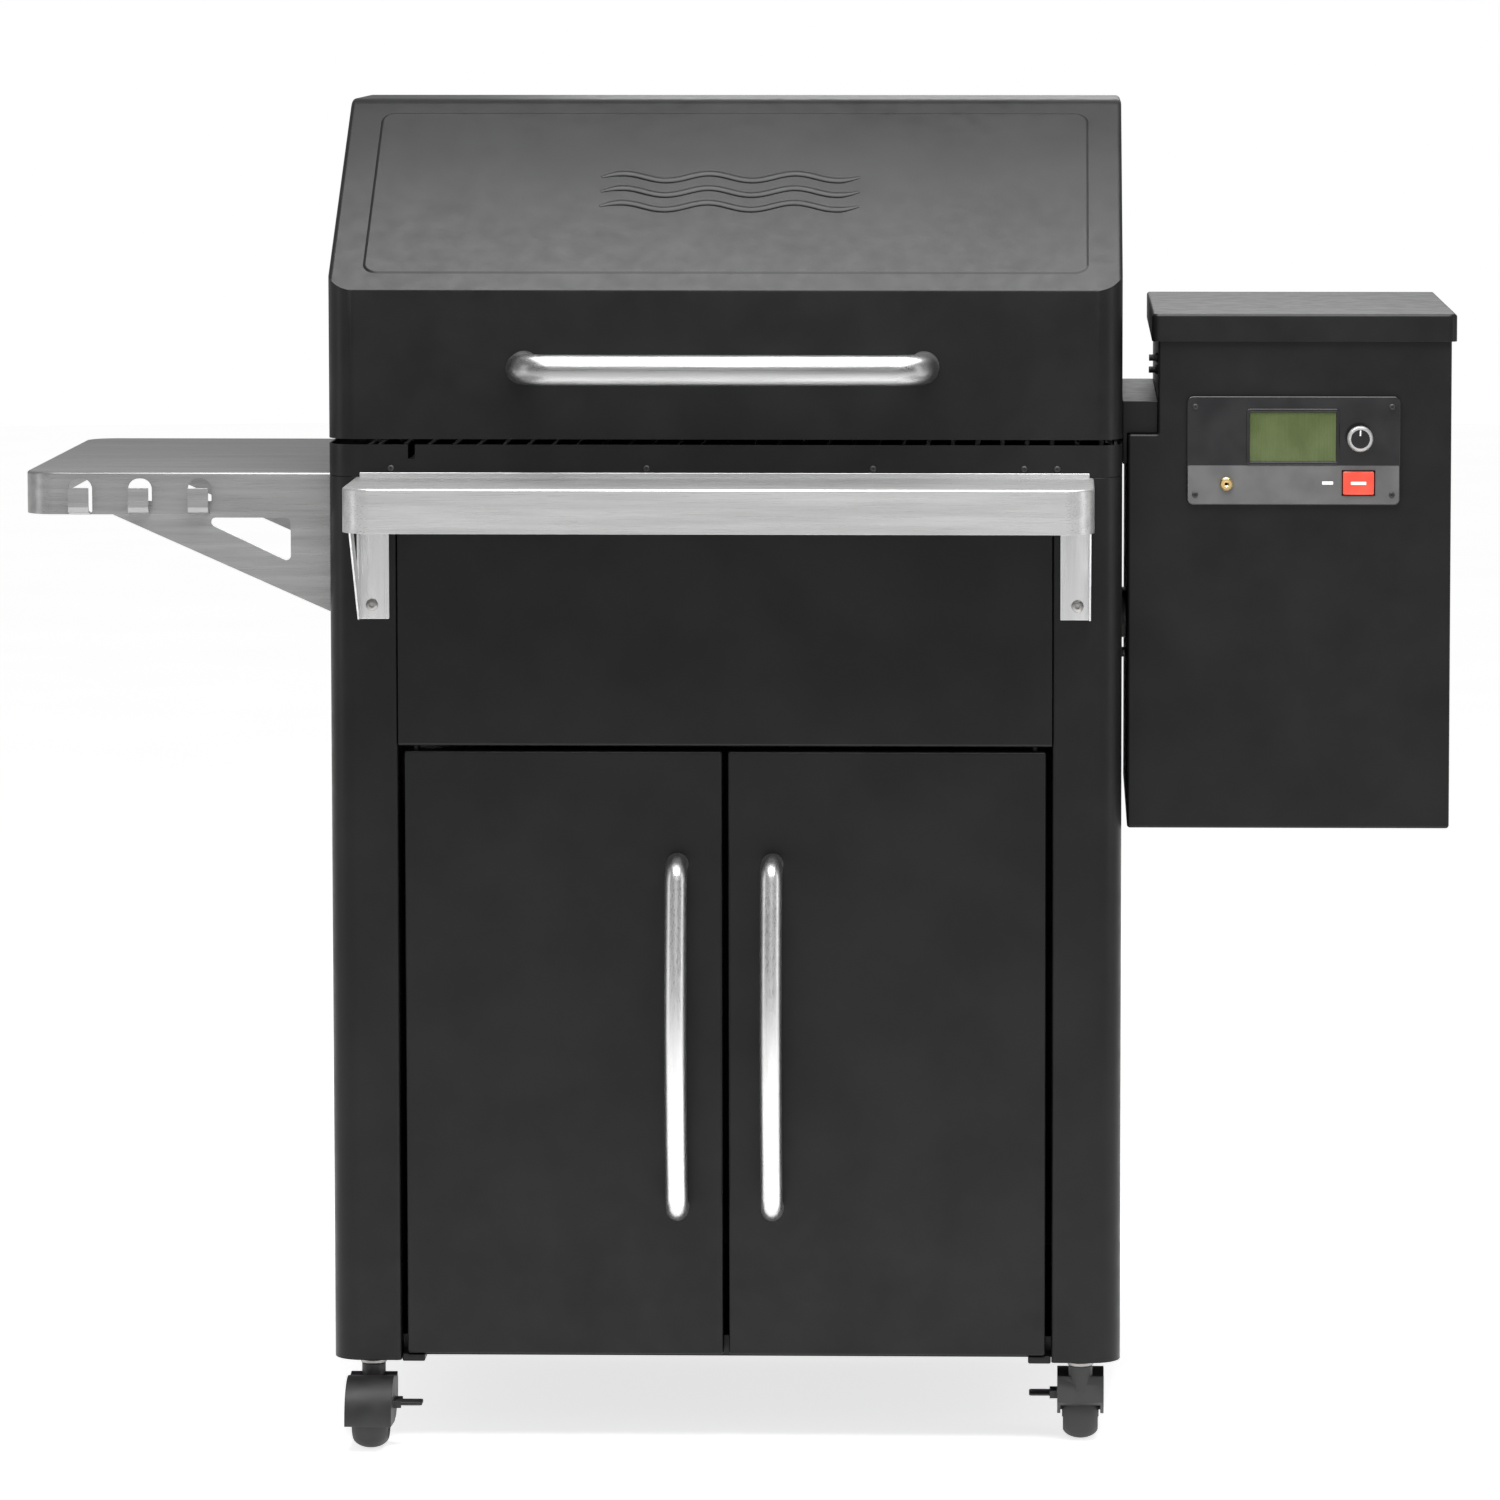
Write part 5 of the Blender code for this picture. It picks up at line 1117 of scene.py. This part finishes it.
def controller():
    """Gloss bezel with a grey lower strip, screen, corner screws, jack, knob and button."""
    low, high = span("controller_panel")
    front = low.y
    controller_bezel(low, high, front + 0.0050)
    controller_strip(low, high)
    controller_screen(front)
    inset_x, inset_z = 0.0078, 0.0096
    places = [(x, front, z) for x in (low.x + inset_x, high.x - inset_x)
              for z in (low.z + inset_z, high.z - inset_z)]
    screws("controller_screws", places, (0, -1, 0), 0.0028, PLASTIC)
    button_and_marks(front)
    knob()
    jack_ring()


def controller_bezel(low, high, plate_back):
    """Face plate and case of the controller with holes for what sits in them."""
    front = low.y
    before = front - PAST
    plate = prism(rectangle(low.x, low.z, high.x, high.z, (0.006,) * 4, 8), "Y", front,
                  plate_back)
    bevelled(plate, 0.0012, 4, lambda edge: all(v.co.y < front + TINY for v in edge.verts))
    case = box((low.x + 0.0093, plate_back - 0.0007, low.z + 0.0077),
               (high.x - 0.0086, high.y, high.z - 0.0074))
    body = boolean_result(plate, [case], "UNION")
    screen = box_through(*span("display_lens"), JOINT_GAP, before, plate_back - 0.0020)
    button = box_through(*span("ignite_button"), 0.0005, before, plate_back + 0.0060)
    stem, jack = middle("knob_stem"), middle("probe_jack")
    holes = [rod_along("Y", before, front + depth, place.x, place.z, 0.0040)
             for place, depth in ((stem, 0.028), (jack, 0.018))]
    body = boolean_result(body, [screen, button, *holes])
    finish_piece("controller_bezel", body, GLOSS, replaced=["controller_panel"], bevel=0.0003)


def controller_strip(low, high):
    """Printed grey strip over the lower part of the bezel, with room for button and jack."""
    front, jack = low.y, middle("probe_jack")
    inset, thick = 0.0012, 0.0004
    outline = rectangle(low.x + inset, low.z + inset, high.x - inset, low.z + STRIP_HEIGHT,
                        (0.0048, 0.0048, 0.0008, 0.0008))
    strip = prism(outline, "Y", front - thick, front + TINY)
    button_hole = box_through(*span("ignite_button"), 0.0012, front - PAST, front + PAST)
    jack_hole = rod_along("Y", front - PAST, front + PAST, jack.x, jack.z, 0.0050)
    finish_piece("controller_strip", boolean_result(strip, [button_hole, jack_hole]), STRIP)


def controller_screen(front):
    """Screen with a sloped surround."""
    low, high = span("display_lens")
    finish_piece("display_screen", bevelled(box(low, high), 0.0004, 2), GLASS,
                 replaced=["display_lens"])
    width = 0.0030
    outer = rectangle(low.x - width, low.z - width, high.x + width, high.z + width,
                      (0.0035,) * 4)
    inner = rectangle(low.x, low.z, high.x, high.z, (0.0010,) * 4)
    ring = boolean_result(prism(outer, "Y", front - 0.0012, front + TINY),
                          [prism(inner, "Y", front - PAST, front + PAST)])
    finish_piece("display_surround", ring, GLOSS, bevel=0.0009, segments=4)


def button_and_marks(front):
    """Red button with a plain white bar on it and another beside it."""
    low, high = span("ignite_button")
    centre = (low + high) / 2
    bar = box((centre.x - 0.0070, low.y - 0.0002, centre.z - MARK_HALF_Z),
              (centre.x + 0.0070, low.y + 0.0003, centre.z + MARK_HALF_Z))
    finish_piece("button_bar", bevelled(bar, 0.0002, 2), MARKING, "ignite_button")
    x = low.x - 0.0140
    bar = box((x - 0.0050, front - 0.0007, centre.z - MARK_HALF_Z),
              (x + 0.0050, front - 0.0003, centre.z + MARK_HALF_Z))
    finish_piece("strip_bar", bevelled(bar, 0.0001, 2), MARKING)
    renew("ignite_button", "_cap", bevelled(box(low, high), 0.0016, 4), RED, "ignite_button")


def fluted(bm, radius, depth, flutes=24):
    """Press shallow flutes into the wall of a knob that stands on Z."""
    for vert in bm.verts:
        r = math.hypot(vert.co.x, vert.co.y)
        if r > radius * 0.80 and 0.0012 < vert.co.z < depth - 0.0008:
            angle = math.atan2(vert.co.y, vert.co.x)
            scale = 1.0 - 0.030 * (0.5 + 0.5 * math.cos(flutes * angle))
            vert.co.x *= scale
            vert.co.y *= scale
    return bm


def knob():
    """Turned knob with a bright rim, a fluted grip and a pointer, on its stem."""
    low, high = span("knob")
    centre = (low + high) / 2
    radius, depth = (high.x - low.x) / 2, high.y - low.y
    bore, bore_depth = 0.0038, 0.0160
    profile = [(0.0, depth), (radius * 0.78, depth), (radius * 0.84, depth - 0.0006),
               (radius * 0.86, depth - 0.0016), (radius * 0.97, 0.0030), (radius * 0.97, 0.0),
               (bore, 0.0), (bore, bore_depth), (0.0, bore_depth)]
    place = (centre.x, high.y, centre.z)
    grip = placed(fluted(turned(profile, 192), radius, depth), place, TO_FRONT)
    renew("knob", "_grip", grip, GLOSS, "knob")
    rim = turned([(radius * 0.72, depth - 0.0010), (radius * 0.72, depth + 0.0001),
                  (radius * 0.88, depth - 0.0001), (radius * 0.96, depth - 0.0012),
                  (radius * 0.99, depth - 0.0034), (radius * 0.80, depth - 0.0040)], 96)
    finish_piece("knob_rim", placed(rim, place, TO_FRONT), STEEL_X, "knob")
    pointer = box((centre.x - 0.0006, low.y - 0.0002, centre.z + 0.0030),
                  (centre.x + 0.0006, low.y + 0.0005, centre.z + radius * 0.66))
    finish_piece("knob_pointer", bevelled(pointer, 0.0001, 2), MARKING, "knob")


def jack_ring():
    """Brass socket for the food probe."""
    low, high = span("probe_jack")
    place = (low + high) / 2
    radius, bore, barrel, length = (high.x - low.x) / 2, 0.0016, 0.0035, 0.0164
    profile = [(bore, 0.0), (bore, 0.0156), (bore + 0.0010, length), (radius * 0.80, length),
               (radius, 0.0150), (radius, 0.0125), (barrel, 0.0125), (barrel, 0.0)]
    ring = placed(turned(profile), (place.x, low.y + length, place.z), TO_FRONT)
    renew("probe_jack", "_socket", ring, BRASS)


# --------------------------------------------------------------------- casters
def caster_wheel(node):
    """Rounded twin-shoulder wheel with a hub boss and moulding rings."""
    low, high = span(node)
    radius, half = (high.z - low.z) / 2, (high.x - low.x) / 2
    bore, hub_r, ring_r, steps, reach = 0.0045, 0.0105, 0.0185, 14, 78
    arc = []
    for k in range(steps + 1):
        angle = math.radians(-reach + 2 * reach * k / steps)
        arc.append((radius - half * 0.62 * (1 - math.cos(angle)),
                    half * 0.96 * math.sin(angle) / math.sin(math.radians(reach))))
    profile = [(bore, half), (hub_r, half), (hub_r, half - 0.0015), (ring_r, half - 0.0025),
               *arc[::-1], (ring_r, -half + 0.0025), (hub_r, -half + 0.0015), (hub_r, -half),
               (bore, -half)]
    tyre = placed(turned(profile, 72), (low + high) / 2,
                  Matrix.Rotation(math.radians(90), 4, "Y"))
    renew(node, "_tyre", tyre, RUBBER, node, smooth=40.0, bevel=0.0003)


def caster_stem(node):
    """Zinc stem with its washer under the cabinet floor."""
    low, high = span(node)
    centre = (low + high) / 2
    flange_r, flange_low, stem_r = (high.x - low.x) / 2, high.z - 0.0037, 0.0050
    profile = [(0.0, high.z), (flange_r - 0.0008, high.z), (flange_r, high.z - 0.0008),
               (flange_r, flange_low + 0.0006), (flange_r - 0.0006, flange_low),
               (stem_r, flange_low), (stem_r, low.z + 0.0010), (0.0040, low.z), (0.0, low.z)]
    renew(node, "_pin", placed(turned(profile), (centre.x, centre.y, 0.0)), DULL)


# ---------------------------------------------------------------------- studio
def area_light(name, place, aim, size, power):
    """Soft rectangular light that isn't seen itself."""
    light = bpy.data.lights.new(name, "AREA")
    light.shape = "RECTANGLE"
    light.size, light.size_y = size
    light.energy = power
    obj = bpy.data.objects.new(name, light)
    obj.location = place
    obj.rotation_euler = (Vector(aim) - Vector(place)).to_track_quat("-Z", "Y").to_euler()
    obj.visible_camera = False
    bpy.context.scene.collection.objects.link(obj)


def surroundings():
    """White backdrop that lights the grill more softly than it looks."""
    world = bpy.data.worlds.new("studio_world")
    world.use_nodes = True
    tree = world.node_tree
    seen = tree.nodes["Background"]
    feed(tree, seen, Color=WHITE, Strength=1.0)
    ambient = add_node(tree, "Background", "Background", Color=WHITE, Strength=0.30)
    is_seen = add_node(tree, "LightPath", "Is Camera Ray")
    choice = add_node(tree, "MixShader", "Shader", Fac=is_seen).node
    tree.links.new(ambient, choice.inputs[1])
    tree.links.new(seen.outputs["Background"], choice.inputs[2])
    feed(tree, tree.nodes["World Output"], Surface=choice.outputs["Shader"])
    bpy.context.scene.world = world


def studio():
    """Matt pale floor, white surroundings and large soft lights."""
    bpy.context.scene.view_settings.view_transform = "Standard"
    surroundings()
    bm = bmesh.new()
    bmesh.ops.create_circle(bm, cap_ends=True, segments=96, radius=14.0)
    floor = new_object("studio_floor", bm)
    floor.data.materials.append(surface(
        "studio_floor", None, {"mottle": (3.0,)}, ("mottle", (0.86,) * 3, (0.90,) * 3),
        ("mottle", 0.85, 0.95), Specular_IOR_Level=0.1, Emission_Color=WHITE,
        Emission_Strength=0.72))
    area_light("overhead", (0.2, -0.62, 1.95), (0.2, -0.62, 0.0), (1.6, 1.7), 68.0)
    area_light("front_fill", (0.5, -4.6, 1.9), (0.0, 0.0, 0.7), (2.0, 2.2), 6.0)
    area_light("left_strip", (-3.2, -1.0, 1.4), (0.0, 0.0, 0.7), (1.0, 2.4), 8.0)
    area_light("right_strip", (3.2, -1.0, 1.4), (0.0, 0.0, 0.7), (1.0, 2.4), 10.0)
    area_light("backdrop", (0.3, 3.0, 2.3), (0.3, 0.0, 1.0), (1.4, 1.4), 10.0)


def camera():
    """Frontal view from a little right of the middle, at about the height of the lid."""
    data = bpy.data.cameras.new("camera")
    data.lens = 172.78
    data.sensor_width = 36.0
    data.shift_x, data.shift_y = -0.10, -0.12
    obj = bpy.data.objects.new("camera", data)
    obj.location = (0.3078 + CABINET_X, -6.5500 + FRONT_Y, 1.3857)
    obj.rotation_euler = (math.radians(90.0 - 5.006), 0.0, math.radians(1.288))
    bpy.context.scene.collection.objects.link(obj)
    bpy.context.scene.camera = obj


def build():
    """Every piece of the grill."""
    carried_nodes()
    side_panels()
    front_fascia()
    door_pivot_blocks()
    doors()
    back_screws()
    barrel_tub()
    lid_hood()
    lid_handle()
    inside_barrel()
    grease_bucket()
    front_shelf()
    side_shelf()
    hopper()
    auger_screw()
    inlet_blades()
    controller()
    for corner in CASTER_CORNERS:
        caster_wheel("caster_wheel_" + corner)
        caster_stem("caster_stem_" + corner)


build()
studio()
camera()
